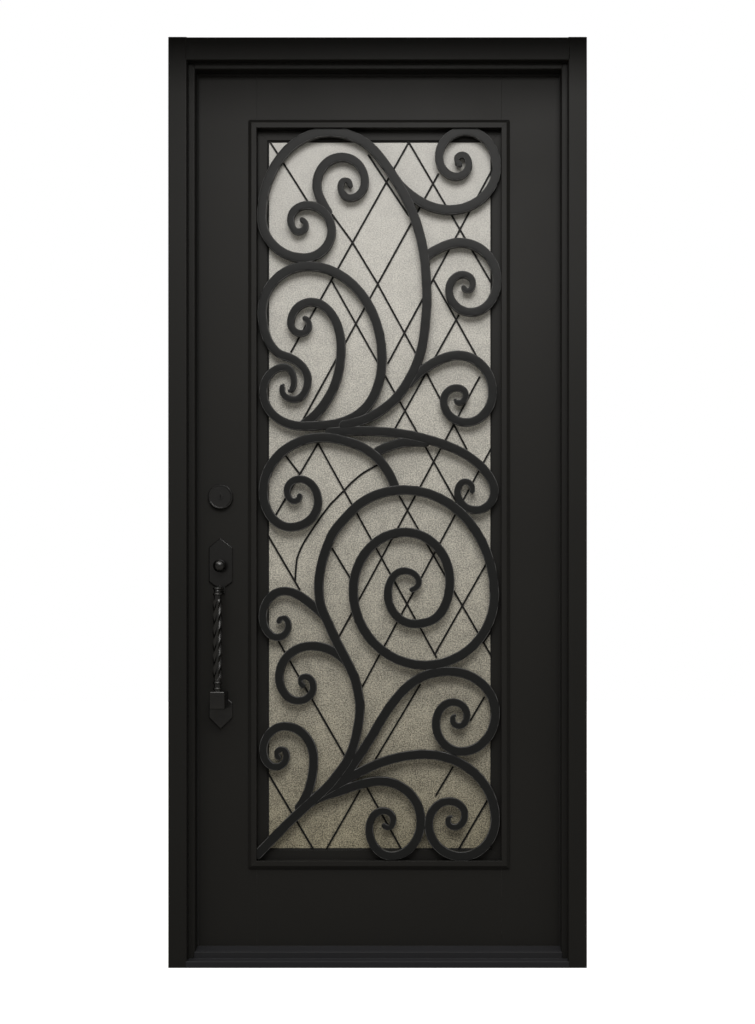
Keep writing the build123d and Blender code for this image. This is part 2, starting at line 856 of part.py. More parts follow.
def lattice():
    """Thin diamond lattice strips on the face of the glass, fused where they cross."""
    y1 = glass_y
    y0 = y1 - lattice_thickness
    strips = None
    half = lattice_width / 2
    for start, end in falling_bars + rising_bars:
        ax, az = fitted(*start)
        bx, bz = fitted(*end)
        length = hypot(bx - ax, bz - az)
        ux, uz = (bx - ax) / length, (bz - az) / length
        corners = [
            (ax - uz * half, az + ux * half),
            (bx - uz * half, bz + ux * half),
            (bx + uz * half, bz - ux * half),
            (ax + uz * half, az - ux * half),
        ]
        strip = slab(corners, y0, y1)
        strips = strip if strips is None else strips + strip
    line = centre_line(curved_bar, 2)
    strips += ribbon(line, [lattice_width] * len(line), y0, y1, 0)
    sight = block(-sight_x, sight_x, y0, y1, sight_bottom, sight_top)
    return (strips & sight).solids()


# Hinges
def hinge_frame_half(height):
    """Lower knuckle with its pin, and the wing on the jamb."""
    knuckle = rod(hinge_radius, (hinge_x, hinge_y, height), (hinge_x, hinge_y, height + hinge_half))
    wing = block(
        hinge_x, hinge_x + hinge_wing, back_y, back_y + hinge_leaf, height, height + hinge_half
    )
    top = height + hinge_half
    pin = rod(pin_radius, (hinge_x, hinge_y, top), (hinge_x, hinge_y, top + pin_length))
    return largest(knuckle + wing + pin)


def hinge_leaf_half(height):
    """Upper knuckle that drops over the pin, closed at the top, and the wing on the leaf."""
    low = height + hinge_half + bearing_gap
    high = low + hinge_half
    knuckle = rod(hinge_radius, (hinge_x, hinge_y, low), (hinge_x, hinge_y, high))
    wing = block(hinge_x - hinge_wing, hinge_x, back_y, back_y + hinge_leaf, low, high)
    bore_top = low + pin_length + pin_head_room
    bore = rod(pin_radius + pin_clearance, (hinge_x, hinge_y, low), (hinge_x, hinge_y, bore_top))
    return largest(knuckle + wing - bore)


# Handle set
def handle_top_plate():
    """The pointed plate behind the thumb piece, with its slot and the ears of its pivot."""
    half = plate_width / 2
    tongue = tongue_width / 2
    outline = [
        (handle_x - half + plate_cut_x, top_plate_bottom),
        (handle_x - tongue, top_plate_bottom),
        (handle_x - tongue, top_plate_bottom - tongue_drop),
        (handle_x + tongue, top_plate_bottom - tongue_drop),
        (handle_x + tongue, top_plate_bottom),
        (handle_x + half - plate_cut_x, top_plate_bottom),
        (handle_x + half, top_plate_bottom + plate_cut_z),
        (handle_x + half, top_plate_shoulder),
        (handle_x, top_plate_apex),
        (handle_x - half, top_plate_shoulder),
        (handle_x - half, top_plate_bottom + plate_cut_z),
    ]
    plate = slab(outline, plate_y, leaf_y)
    front = plate.faces().sort_by(Axis.Y)[0]
    plate = chamfer(front.edges(), plate_chamfer)
    plate -= block(
        handle_x - thumb_slot_width / 2,
        handle_x + thumb_slot_width / 2,
        plate_y,
        leaf_y,
        thumb_height - thumb_slot_low,
        thumb_height + thumb_slot_high,
    )
    inner = thumb_hub_length / 2 + thumb_side_gap
    for sign in (-1, 1):
        x0 = handle_x + sign * inner
        x1 = x0 + sign * thumb_ear
        ear = block(
            min(x0, x1), max(x0, x1), leaf_y, thumb_pivot_y,
            thumb_height - thumb_hub_radius, thumb_height + thumb_hub_radius,
        )
        ear += rod(thumb_hub_radius, (x0, thumb_pivot_y, thumb_height), (x1, thumb_pivot_y, thumb_height))
        plate += ear
    bore = rod(
        thumb_pin_radius + pin_clearance,
        (handle_x - plate_width, thumb_pivot_y, thumb_height),
        (handle_x + plate_width, thumb_pivot_y, thumb_height),
    )
    return largest(plate - bore)


def handle_bottom_plate():
    """The lower plate, pointed at its foot."""
    half = plate_width / 2
    outline = [
        (handle_x, low_plate_point),
        (handle_x + half, low_plate_shoulder),
        (handle_x + half, low_plate_top - plate_cut_z),
        (handle_x + half - plate_cut_x, low_plate_top),
        (handle_x - half + plate_cut_x, low_plate_top),
        (handle_x - half, low_plate_top - plate_cut_z),
        (handle_x - half, low_plate_shoulder),
    ]
    plate = slab(outline, plate_y, leaf_y)
    front = plate.faces().sort_by(Axis.Y)[0]
    return chamfer(front.edges(), plate_chamfer)


def handle_grip():
    """The grip: a neck at the top, collars, a twisted square bar and a boss at the foot."""
    bend = cos(radians(45)) * grip_bend
    neck = Line((handle_x, plate_y, grip_top), (handle_x, grip_y + grip_bend, grip_top))
    elbow = ThreePointArc(
        neck @ 1,
        (handle_x, grip_y + grip_bend - bend, grip_top - grip_bend + bend),
        (handle_x, grip_y, grip_top - grip_bend),
    )
    drop = Line(elbow @ 1, (handle_x, grip_y, twist_top))
    grip = sweep(Plane(origin=neck @ 0, z_dir=neck % 0) * Circle(grip_neck_radius),
                 path=Wire([neck, elbow, drop]))
    grip += rod(grip_neck_radius, (handle_x, grip_y, boss_top), (handle_x, grip_y, twist_bottom))
    square = Pos(handle_x, grip_y, twist_bottom) * Rectangle(twist_side, twist_side)
    turns = (twist_top - twist_bottom) / twist_pitch
    grip += Solid.extrude_linear_with_rotation(
        square.face().outer_wire(),
        Vector(handle_x, grip_y, twist_bottom),
        Vector(0, 0, twist_top - twist_bottom),
        360 * turns,
    )
    for height in collar_heights:
        grip += rod(
            collar_radius,
            (handle_x, grip_y, height - collar_height / 2),
            (handle_x, grip_y, height + collar_height / 2),
        )
    half = boss_width / 2
    boss = block(
        handle_x - half, handle_x + half, grip_y - boss_front, plate_y, boss_bottom, boss_top
    )
    front = boss.faces().sort_by(Axis.Y)[0]
    return largest(grip + chamfer(front.edges(), boss_edge))


def thumb_piece():
    """The thumb piece: a round button, its neck through the plate, hub and pivot pin."""
    middle = plate_y - thumb_reach
    front = middle - thumb_dome
    back = middle + thumb_back
    slant = cos(radians(45))
    dome = make_face([
        ThreePointArc(
            (0, front), (thumb_radius * slant, middle - thumb_dome * slant), (thumb_radius, middle)
        ),
        Line((thumb_radius, middle), (thumb_neck, back)),
        Line((thumb_neck, back), (0, back)),
        Line((0, back), (0, front)),
    ])
    button = Pos(handle_x, 0, thumb_height) * revolve(dome, Axis.Y)
    half = thumb_neck / 2
    neck = block(
        handle_x - half, handle_x + half, middle, thumb_pivot_y,
        thumb_height - half, thumb_height + half,
    )
    hub_half = thumb_hub_length / 2
    hub = rod(
        thumb_hub_radius - thumb_ear_rise,
        (handle_x - hub_half, thumb_pivot_y, thumb_height),
        (handle_x + hub_half, thumb_pivot_y, thumb_height),
    )
    pin_half = hub_half + thumb_side_gap + thumb_ear
    pin = rod(
        thumb_pin_radius,
        (handle_x - pin_half, thumb_pivot_y, thumb_height),
        (handle_x + pin_half, thumb_pivot_y, thumb_height),
    )
    return largest(button + neck + hub + pin)


def turned(points, x, z, y, sign):
    """A turned piece whose (radius, height) points stand off the face at y."""
    profile = [(0, points[0][1])] + points + [(0, points[-1][1])]
    placed = [(r, y + sign * h) for r, h in profile]
    return Pos(x, 0, z) * revolve(make_face(Polyline(*placed, close=True)), Axis.Y)


def deadbolt_rose():
    """The deadbolt's flat rose with a raised rim, bored for the key plug."""
    inner = rose_radius - rose_rim_width
    steps = [
        (rose_radius, 0),
        (rose_radius, rose_height - rose_edge),
        (rose_radius - rose_edge, rose_height),
        (inner, rose_height),
        (inner - rose_rim_rise, rose_height - rose_rim_rise),
    ]
    rose = turned(steps, handle_x, deadbolt_height, leaf_y, -1)
    bore = rod(
        key_radius + key_clearance,
        (handle_x, leaf_y - rose_height, deadbolt_height),
        (handle_x, leaf_y, deadbolt_height),
    )
    return largest(rose - bore)


def key_plug():
    """The key plug, with its keyway."""
    front = leaf_y - rose_height
    plug = rod(
        key_radius,
        (handle_x, front, deadbolt_height),
        (handle_x, leaf_y - bearing_gap, deadbolt_height),
    )
    keyway = block(
        handle_x - key_slot_width / 2,
        handle_x + key_slot_width / 2,
        front,
        front + key_slot_depth,
        deadbolt_height - key_slot_height / 2,
        deadbolt_height + key_slot_height / 2,
    )
    return largest(plug - keyway)


def interior_knob():
    """The knob and rose on the inside, at the latch."""
    return largest(turned(knob_outline, handle_x, thumb_height, back_y, 1))


def interior_turn():
    """The thumb turn and rose on the inside, at the deadbolt."""
    rose = turned(turn_outline, handle_x, deadbolt_height, back_y, 1)
    bar = block(
        handle_x - turn_length / 2,
        handle_x + turn_length / 2,
        back_y + turn_root,
        back_y + turn_reach,
        deadbolt_height - turn_thickness / 2,
        deadbolt_height + turn_thickness / 2,
    )
    return largest(rose + fillet(edges_along_y(bar), turn_rounding))


def edges_along_y(solid):
    """The edges of a solid that run along Y."""
    return solid.edges().filter_by(Axis.Y)


def model():
    """Every node's name with its solid or solids."""
    right = hinge_side_jamb()
    left = strike_side_jamb()
    nodes = {
        "hinge_jamb": right,
        "strike_jamb": left,
        "head_jamb": head_bar((left, right)),
        "threshold": threshold_bar((left, right)),
        "weatherstrip": weather_seals(),
        "strike_plates": strike_plates(),
        "hinge_stile": hinge_stile(),
        "lock_stile": lock_stile(),
        "top_rail": top_rail(),
        "bottom_rail": bottom_rail(),
        "edge_faceplates": edge_faceplates(),
        "glass_unit": glass_unit(),
        "diamond_lattice": lattice(),
        "handle_top_plate": handle_top_plate(),
        "handle_bottom_plate": handle_bottom_plate(),
        "handle_grip": handle_grip(),
        "thumb_piece": thumb_piece(),
        "deadbolt_rose": deadbolt_rose(),
        "key_plug": key_plug(),
        "interior_knob": interior_knob(),
        "interior_turn": interior_turn(),
    }
    for side, bar in beads().items():
        nodes["panel_bead_" + side] = bar
    for side, bar in sashes().items():
        nodes["glass_sash_" + side] = bar
    for name, height in zip(("bottom", "middle", "top"), hinge_heights):
        nodes["hinge_" + name + "_frame_half"] = hinge_frame_half(height)
        nodes["hinge_" + name + "_leaf_half"] = hinge_leaf_half(height)
    nodes.update(scrollwork())
    return nodes


os.makedirs("parts", exist_ok=True)
for node, shape in model().items():
    solids = shape if isinstance(shape, list) else shape.solids()
    whole = solids[0] if len(solids) == 1 else Compound(children=list(solids))
    export_step(whole, "parts/" + node + ".step")
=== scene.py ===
from math import atan, cos, hypot, pi, radians, sin, tan

import bpy
import numpy as np
from bpy.props import FloatProperty, FloatVectorProperty, PointerProperty
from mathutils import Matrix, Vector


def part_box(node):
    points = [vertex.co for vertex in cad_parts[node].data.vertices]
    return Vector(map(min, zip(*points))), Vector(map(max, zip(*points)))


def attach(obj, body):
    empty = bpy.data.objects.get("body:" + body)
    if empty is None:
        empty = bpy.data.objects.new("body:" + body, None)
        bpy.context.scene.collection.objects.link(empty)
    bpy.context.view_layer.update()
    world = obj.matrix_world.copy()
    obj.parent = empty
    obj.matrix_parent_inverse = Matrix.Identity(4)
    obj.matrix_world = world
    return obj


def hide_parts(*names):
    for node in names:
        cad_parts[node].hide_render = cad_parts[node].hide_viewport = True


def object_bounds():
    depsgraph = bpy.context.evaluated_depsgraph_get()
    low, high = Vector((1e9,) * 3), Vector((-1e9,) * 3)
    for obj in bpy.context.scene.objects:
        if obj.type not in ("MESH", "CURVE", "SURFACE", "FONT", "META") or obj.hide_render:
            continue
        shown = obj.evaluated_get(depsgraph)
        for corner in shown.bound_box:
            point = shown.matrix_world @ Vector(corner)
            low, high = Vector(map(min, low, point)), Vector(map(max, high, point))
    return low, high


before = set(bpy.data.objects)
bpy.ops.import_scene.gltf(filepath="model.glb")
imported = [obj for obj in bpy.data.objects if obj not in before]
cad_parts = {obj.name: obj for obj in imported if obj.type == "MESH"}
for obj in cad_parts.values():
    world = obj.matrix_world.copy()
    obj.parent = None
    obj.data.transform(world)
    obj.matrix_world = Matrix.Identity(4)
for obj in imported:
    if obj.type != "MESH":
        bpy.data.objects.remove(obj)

bl_info = {
    "name": "Iron Entry Door",
    "version": (1, 0, 0),
    "blender": (4, 5, 0),
    "location": "View3D > Sidebar > Door",
    "description": "Finishes, ironwork and hardware for an iron entry door",
    "category": "Object",
}

CAD_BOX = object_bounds()
MM = 0.001

# Places read from the frame
LEAF_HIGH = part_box("lock_stile")[1]
RAIL_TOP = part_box("top_rail")
RAIL_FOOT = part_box("bottom_rail")
SCROLL_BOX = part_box("trunk_scroll")
JAMB_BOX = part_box("strike_jamb")
FACE_Y = JAMB_BOX[0][1]
PANEL_X = RAIL_TOP[1][0]
PANEL_BOTTOM = RAIL_FOOT[1][2]
PANEL_TOP = RAIL_TOP[0][2]
SCROLL_FRONT = SCROLL_BOX[0][1]
SCROLL_BACK = SCROLL_BOX[1][1]

# The ironwork's drawing, in millimetres: its width, middle, height and foot
DRAWN_WIDTH = 544.0
DRAWN_MIDDLE = 2.8
DRAWN_HEIGHT = 1627.0
DRAWN_BOTTOM = 220.0

# The photo's height, and the width and foot of the door's outline in it, in pixels
PHOTO_HEIGHT = 1024
OUTLINE_WIDTH = 419
OUTLINE_FOOT = 968

# Radii that ease the sharp edges of the frame and the leaf
FRAME_EASING = 0.9 * MM
LEAF_EASING = 0.7 * MM

# Forging marks: the lengths of the waves in a bar's sides and face, and the face's depth
LONG_WAVE = 0.0093
SHORT_WAVE = 0.0041
FACE_WAVE = 0.0067
FACE_WAVE_DEPTH = 0.00012

# How many bend radii wide a bar is at most, and its steps from one key to the next
WIDEST_TURN = 1.3
STEPS_A_STRETCH = 12

# The grip, measured from the box of its node
GRIP_AXIS_DEPTH = 10 * MM
NECK_DROP = 30 * MM
NECK_BEND = 9 * MM
BOSS_HEIGHT = 39 * MM
BOSS_EDGE = 3 * MM
FOOT_NECK_LENGTH = 26 * MM
TWIST_RISE = 24 * MM
COLLAR_HEIGHT = 5 * MM
TOP_COLLAR_DROPS = (8.6, 21.2)
FOOT_COLLAR_RISES = (5.5, 18.5)

# Screws of the edge plates: each plate's height and how far its screws lie from its middle
STRIKE_HEIGHT = 70 * MM
STRIKE_SCREW_REACH = 27 * MM
FACEPLATE_HEIGHT = 57 * MM
FACEPLATE_SCREW_REACH = 23 * MM
PLATE_SCREW_RADIUS = 3.4 * MM
PLATE_SCREW_SINK = 0.4 * MM

# Screws of the hinges, three to a wing, their places in millimetres from the wing's middle
HINGE_X = 0.41445
HINGE_WING_MIDDLE = 26 * MM
HINGE_WING_THICKNESS = 5 * MM
HINGE_HALF_MIDDLE = 25 * MM
HINGE_SCREW_RADIUS = 3.6 * MM
HINGE_SCREWS = ((-5, 17), (5, 0), (-5, -17))

# Studio
FLOOR_REACH = 12.0
KEY_PLACE = (0.15, -2.6, 2.75)
KEY_TARGET = (0.0, 0.0, 1.2)
KEY_SIZE = (2.0, 1.3)
FLAG_RISE = 13 * MM
FLAG_HALF_WIDTH = 0.9
FLAG_SET_OFF = 5 * MM

# Each bar is a list of keys (x, z, heading), the heading in degrees from the right, turning up.
BARS = {
    "trunk_scroll": [[
        (-272, 229, 45), (-200, 303, 45), (-147, 352, 42), (-105, 392, 52),
        (-69.5, 440, 62), (-48, 500, 78), (-40, 560, 90), (-50, 620, 105), (-78, 680, 118),
        (-107, 740, 112), (-129, 795, 98), (-131.5, 830, 90), (-104, 940, 66),
        (-55, 1000, 45), (60, 1044, 0), (259, 810, 270), (105, 654, 180), (-55, 820, 90),
        (60, 950, 0), (160, 842, 270), (135, 765, 228), (82, 746, 180), (22, 812, 90),
        (58, 864, 0), (91, 838, 270), (76, 822, 200)]],
    "crown_scroll": [[
        (-76, 1188, 12), (-26, 1202, 22), (30, 1238, 40), (75, 1300, 62), (104, 1400, 84),
        (109, 1470, 90), (107, 1520, 93), (96, 1600, 103), (69, 1680, 114),
        (35, 1740, 122), (-10, 1800, 133), (-110, 1840, 180), (-258.5, 1652, 270),
        (-165, 1559.5, 0), (-103, 1620, 90), (-157, 1677, 180), (-194, 1645, 270),
        (-177, 1618, 0), (-160, 1633, 90), (-168, 1644, 150)]],
    "heart_scroll": [[
        (-197, 1264, 0), (-187, 1286, 90), (-208, 1317, 180), (-255, 1262, 270),
        (-169, 1186, 0), (-100, 1190, 10), (-34, 1220, 42), (9, 1338, 90),
        (-155, 1542, 180), (-257.5, 1440, 270), (-208, 1342, -15), (-156, 1289, 270),
        (-186, 1245, 180), (-213, 1266, 90), (-210, 1277.5, 35)]],
    "arch_scroll": [[
        (38, 1050, 108), (-5, 1118, 138), (-60, 1149, 163), (-122, 1161, 180),
        (-255, 1040, 270), (-194, 961, 0), (-133, 1018, 90), (-174, 1068, 180),
        (-202, 1042, 270), (-187, 1019, 0), (-174, 1030, 90)]],
    "long_arm_scroll": [[
        (-107, 1172, 5), (-60, 1175, 2), (0, 1174, -3), (60, 1167.6, -9),
        (120, 1153.6, -17), (180, 1131, -27), (240, 1084, -52), (259, 1042, 270),
        (219, 999, 180), (177, 1038, 90), (194, 1062.6, 0), (210, 1042, 265)]],
    "lower_branch_scroll": [[
        (-75, 405, 52), (-24, 480, 57), (25, 560, 55), (80, 618, 35), (158, 640.5, 0),
        (261, 548, 270), (186, 462, 180), (129, 525, 90), (167, 572, 0), (198, 543, 270),
        (181, 519, 180), (166, 532, 90), (171, 542, 20)]],
    "foot_branch_scroll": [[
        (-140, 360, 40), (-60, 406, 28), (0, 435, 22), (60, 452, 10), (105, 456, 0),
        (261, 312, 270), (186, 229, 180), (113, 300, 90), (158, 351.7, 0),
        (193, 322, 270), (171, 294, 180), (156, 306, 90), (163, 317, 0)]],
    "foot_curl_scroll": [[
        (-150, 348, 40), (-80, 376, 20), (5, 396.5, 0), (95.6, 308, 270), (30, 230, 180),
        (-19.5, 290, 90), (12, 330.5, 0), (34, 310, 270), (24, 293, 180),
        (14, 297, 140)]],
    "inner_heart_scroll": [[
        (-165, 1190, 30), (-131, 1220, 48), (-104, 1260, 62), (-82, 1362, 90),
        (-148, 1462, 180), (-194, 1415, 270), (-171, 1392, 0), (-153, 1410, 90),
        (-162, 1425, 160)]],
    "crown_curl_scroll": [[
        (-112, 1662, 122), (-136, 1722, 90), (-80, 1784, 0), (-29, 1730, 270),
        (-62, 1693, 180), (-83, 1718, 90), (-72, 1733, 0), (-62, 1722, 280)]],
    "link_scroll": [[(-3, 1127, 40), (45, 1147, 15), (105, 1150, -5)]],
    "right_curl_scrolls": [
        [(41, 1732, -62), (82, 1693, -36), (160, 1666.5, 0), (264, 1762, 90),
         (195, 1842, 180), (136, 1785, 270), (174, 1740.5, 0), (202, 1768, 90),
         (188, 1789, 180), (174.5, 1777, 270), (182, 1768, 330)],
        [(106, 1562, 45), (136, 1581, 27), (182, 1594, 0), (265, 1510, 270),
         (208, 1439, 180), (158, 1488, 90), (189, 1523, 0), (211, 1503, 270),
         (200, 1487, 180), (191, 1493, 120)],
        [(70, 1282, 52), (100, 1311, 36), (178, 1343.5, 0), (255, 1262, 270),
         (196, 1194, 180), (146, 1242, 90), (175, 1271, 0), (195, 1256, 270),
         (181, 1238, 180), (172, 1243, 110)]],
    "left_curl_scrolls": [
        [(-120, 764, 130), (-160, 799, 142), (-208, 819, 180), (-256, 762, 270),
         (-223, 716, 0), (-199, 743, 90), (-212, 760, 180), (-220, 752, 250)],
        [(-72, 664, 130), (-100, 685, 150), (-148, 697, 180), (-219.5, 628, 270),
         (-177, 575, 0), (-143.5, 606, 90), (-161, 629, 180), (-173, 619, 270),
         (-167, 609, 315)],
        [(-175, 338, 48), (-161, 360, 65), (-143, 445, 90), (-207, 518.5, 180),
         (-255, 465, 270), (-227, 428, 0), (-203, 452, 90), (-213, 467.6, 180),
         (-225, 457, 270), (-221, 449, 315)]],
}
BOTH_ENDS_CURLED = ("heart_scroll",)
NO_END_CURLED = ("link_scroll",)

# How many steps a bar lies behind the trunk, so that each joint shows a line
SET_BACK = {
    "arch_scroll": 1, "lower_branch_scroll": 1, "foot_branch_scroll": 1, "foot_curl_scroll": 2,
    "left_curl_scrolls": 1, "long_arm_scroll": 2, "link_scroll": 3, "crown_scroll": 2,
    "heart_scroll": 3, "inner_heart_scroll": 4, "crown_curl_scroll": 3,
    "right_curl_scrolls": 3,
}


# Sizes and colours that a user would change
class DoorFinish(bpy.types.PropertyGroup):
    """Colours and gloss of the painted steel and the iron."""
    frame_colour: FloatVectorProperty(
        name="Frame", description="Paint of the jambs, head and threshold",
        default=(0.0125, 0.0122, 0.0112), size=3, min=0, max=1, subtype="COLOR")
    # The threshold is painted lighter and bluer than the frame: a painted reflection of the sky
    # on its step faces
    sill_painted_reflection_colour: FloatVectorProperty(
        name="Threshold", description="Paint of the threshold",
        default=(0.0240, 0.0245, 0.0275), size=3, min=0, max=1, subtype="COLOR")
    leaf_colour: FloatVectorProperty(
        name="Leaf", description="Paint of the leaf, the moulding and the glass channels",
        default=(0.0165, 0.0160, 0.0148), size=3, min=0, max=1, subtype="COLOR")
    iron_colour: FloatVectorProperty(
        name="Ironwork", description="Paint of the scroll bars",
        default=(0.0140, 0.0146, 0.0148), size=3, min=0, max=1, subtype="COLOR")
    hardware_colour: FloatVectorProperty(
        name="Hardware", description="Blackened iron of the handle, locks and hinges",
        default=(0.0030, 0.0029, 0.0027), size=3, min=0, max=1, subtype="COLOR")
    gloss: FloatProperty(
        name="Roughness", description="Roughness of the satin paint",
        default=0.46, min=0, max=1, subtype="FACTOR")
    # Edge wear on the paint; the scroll bars take it twice over, as wear and as a painted
    # highlight
    wear: FloatProperty(
        name="Edge wear and painted highlight", description="How far the paint is rubbed bright along edges",
        default=0.35, min=0, max=1, subtype="FACTOR")


class DoorGlass(bpy.types.PropertyGroup):
    """Look of the obscure glass."""
    # The glass's colour runs from the foot colour to the top colour with height: painted light,
    # pale at the head, and painted shade, dark at the foot
    painted_light_top_colour: FloatVectorProperty(
        name="Top", description="Tone of the glass near the head",
        default=(0.88, 0.87, 0.83), size=3, min=0, max=1, subtype="COLOR")
    painted_shade_foot_colour: FloatVectorProperty(
        name="Foot", description="Tone of the glass near the threshold",
        default=(0.315, 0.285, 0.20), size=3, min=0, max=1, subtype="COLOR")
    grain: FloatProperty(
        name="Grain", description="Size of the grains in the glass",
        default=2.7 * MM, min=0.0005, max=0.02, unit="LENGTH")
    gasket: FloatProperty(
        name="Gasket width", description="Width of the black gasket that shows round the glass",
        default=3.5 * MM, min=0.001, max=0.02, unit="LENGTH")
    gasket_depth: FloatProperty(
        name="Gasket depth", description="How far the gasket stands off the glass",
        default=1.6 * MM, min=0.0005, max=0.004, unit="LENGTH")


class DoorIronwork(bpy.types.PropertyGroup):
    """Sizes of the scroll bars."""
    body: FloatProperty(
        name="Bar width", description="Width of a bar at its stem",
        default=21 * MM, min=0.005, max=0.05, unit="LENGTH")
    tip: FloatProperty(
        name="Tip width", description="Width of a bar at its curled tip",
        default=12 * MM, min=0.003, max=0.03, unit="LENGTH")
    set_back: FloatProperty(
        name="Set-back", description="How far a bar lies behind the one it is welded to",
        default=0.35 * MM, min=0, max=0.003, unit="LENGTH")
    taper: FloatProperty(
        name="Taper", description="Length over which a tip is drawn out",
        default=120 * MM, min=0.02, max=1.0, unit="LENGTH")
    easing: FloatProperty(
        name="Edge radius", description="Radius of a bar's long edges",
        default=1.5 * MM, min=0.0002, max=0.004, unit="LENGTH")
    crown: FloatProperty(
        name="Crown", description="Rise of a bar's front face along its middle",
        default=0.25 * MM, min=0, max=0.003, unit="LENGTH")


class DoorGrip(bpy.types.PropertyGroup):
    """Sizes of the twisted grip."""
    side: FloatProperty(
        name="Bar side", description="Side of the square bar that is twisted",
        default=16 * MM, min=0.005, max=0.03, unit="LENGTH")
    hollow: FloatProperty(
        name="Hollow", description="Depth of the hollow in each face of the bar",
        default=1.1 * MM, min=0, max=0.003, unit="LENGTH")
    pitch: FloatProperty(
        name="Pitch", description="Height of one full turn of the twist",
        default=118 * MM, min=0.02, max=1.0, unit="LENGTH")
    neck: FloatProperty(
        name="Neck radius", description="Radius of the round necks",
        default=8 * MM, min=0.003, max=0.02, unit="LENGTH")
    collar: FloatProperty(
        name="Collar radius", description="Radius of the four collars",
        default=10.4 * MM, min=0.005, max=0.03, unit="LENGTH")


class DoorStudio(bpy.types.PropertyGroup):
    """Camera and light."""
    distance: FloatProperty(
        name="Camera distance", description="From the camera to the frame's face",
        default=3.5, min=0.5, max=20, unit="LENGTH")
    camera_x: FloatProperty(
        name="Camera across", description="Camera's place to the right of the door's middle",
        default=0.2, min=-5, max=5, unit="LENGTH")
    camera_z: FloatProperty(
        name="Camera height", description="Camera's height over the floor",
        default=0.75, min=0, max=5, unit="LENGTH")
    key: FloatProperty(
        name="Key light", description="Power of the large soft lamp",
        default=37.0, min=0, max=2000, unit="POWER")
    flag_reach: FloatProperty(
        name="Flag", description="Reach of the dark card over the head, as a porch's soffit",
        default=0.22, min=0, max=2, unit="LENGTH")
    sky: FloatProperty(
        name="Sky", description="Strength of the even light from all round",
        default=0.20, min=0, max=10)
    zenith: FloatProperty(
        name="Zenith", description="Strength of the light from straight above",
        default=2.0, min=0, max=10)


# Surfaces worked out as arrays
def shell(rings, wrap=True, caps=(True, True)):
    """Vertices and faces of a tube: rings (along, round, xyz), neighbours joined by quads.

    With wrap the last point of a ring joins the first. A cap is a fan from the ring's mean.
    """
    rings = np.asarray(rings, float)
    along, round_, _ = rings.shape
    index = np.arange(along * round_).reshape(along, round_)
    a = index[:-1]
    b = index[1:]
    if wrap:
        a2, b2 = np.roll(a, -1, 1), np.roll(b, -1, 1)
    else:
        a, a2, b, b2 = a[:, :-1], a[:, 1:], b[:, :-1], b[:, 1:]
    faces = np.stack([a, a2, b2, b], -1).reshape(-1, 4).tolist()
    points = [rings.reshape(-1, 3)]
    top = along * round_
    for cap, ring, flip in ((caps[0], 0, False), (caps[1], along - 1, True)):
        if not cap:
            continue
        points.append(rings[ring].mean(0)[None])
        loop = index[ring]
        for i, j in zip(loop, np.roll(loop, -1)):
            faces.append([top, i, j] if flip else [top, j, i])
        top += 1
    return np.concatenate(points), faces


def outward(points, faces):
    """The same faces, turned if the volume they enclose comes out negative."""
    volume = 0.0
    for face in faces:
        for i in range(1, len(face) - 1):
            a, b, c = points[face[0]], points[face[i]], points[face[i + 1]]
            volume += a @ np.cross(b, c)
    return faces if volume > 0 else [face[::-1] for face in faces]


def piece(name, shells, material, body, nodes=(), sharp=40):
    """One mesh object from several closed shells, ridden on its body."""
    points, faces, first = [], [], 0
    for verts, quads in shells:
        quads = outward(verts - verts.mean(0), quads)
        points.append(verts)
        faces += [[first + i for i in face] for face in quads]
        first += len(verts)
    mesh = bpy.data.meshes.new(name)
    mesh.from_pydata(np.concatenate(points).tolist(), [], faces)
    mesh.polygons.foreach_set("use_smooth", [True] * len(mesh.polygons))
    mesh.set_sharp_from_angle(angle=radians(sharp))
    mesh.materials.append(material)
    mesh.update()
    made = bpy.data.objects.new(name, mesh)
    bpy.context.scene.collection.objects.link(made)
    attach(made, body)
    if nodes:
        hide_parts(*nodes)
    return made


def turned(profile, centre, axis=(0, -1, 0), sides=64):
    """A turned shell: each (radius, height) is a ring round the axis through the centre."""
    axis = np.array(axis, float)
    side = np.array((1.0, 0, 0)) if abs(axis[0]) < 0.5 else np.array((0, 0, 1.0))
    other = np.cross(axis, side)
    angle = np.linspace(0, 2 * pi, sides, endpoint=False)
    round_ = np.cos(angle)[:, None] * side + np.sin(angle)[:, None] * other
    rings = [np.array(centre) + axis * h + round_ * max(r, 1e-5) for r, h in profile]
    return shell(rings)


# The scroll bars
def fitted(x, z):
    """A point of the ironwork's drawing, placed in the panel, in metres."""
    across = (x - DRAWN_MIDDLE) * 2 * PANEL_X / DRAWN_WIDTH
    up = PANEL_BOTTOM + (z - DRAWN_BOTTOM) * (PANEL_TOP - PANEL_BOTTOM) / DRAWN_HEIGHT
    return across, up


def handles(start, end):
    """Handle lengths of the cubic that joins two keys as an ellipse's arc would."""
    ax, az = cos(radians(start[2])), sin(radians(start[2]))
    bx, bz = cos(radians(end[2])), sin(radians(end[2]))
    cx, cz = end[0] - start[0], end[1] - start[1]
    chord = hypot(cx, cz)
    turn = ax * bz - az * bx
    if abs(turn) > 0.02:
        first = (cx * bz - cz * bx) / turn
        second = (ax * cz - az * cx) / turn
        if 0.1 * chord < first < 3 * chord and 0.1 * chord < second < 3 * chord:
            angle = abs((end[2] - start[2] + 180) % 360 - 180)
            share = 4 / 3 * tan(radians(angle / 4)) / tan(radians(angle / 2))
            return first * share, second * share
    return chord / 3, chord / 3


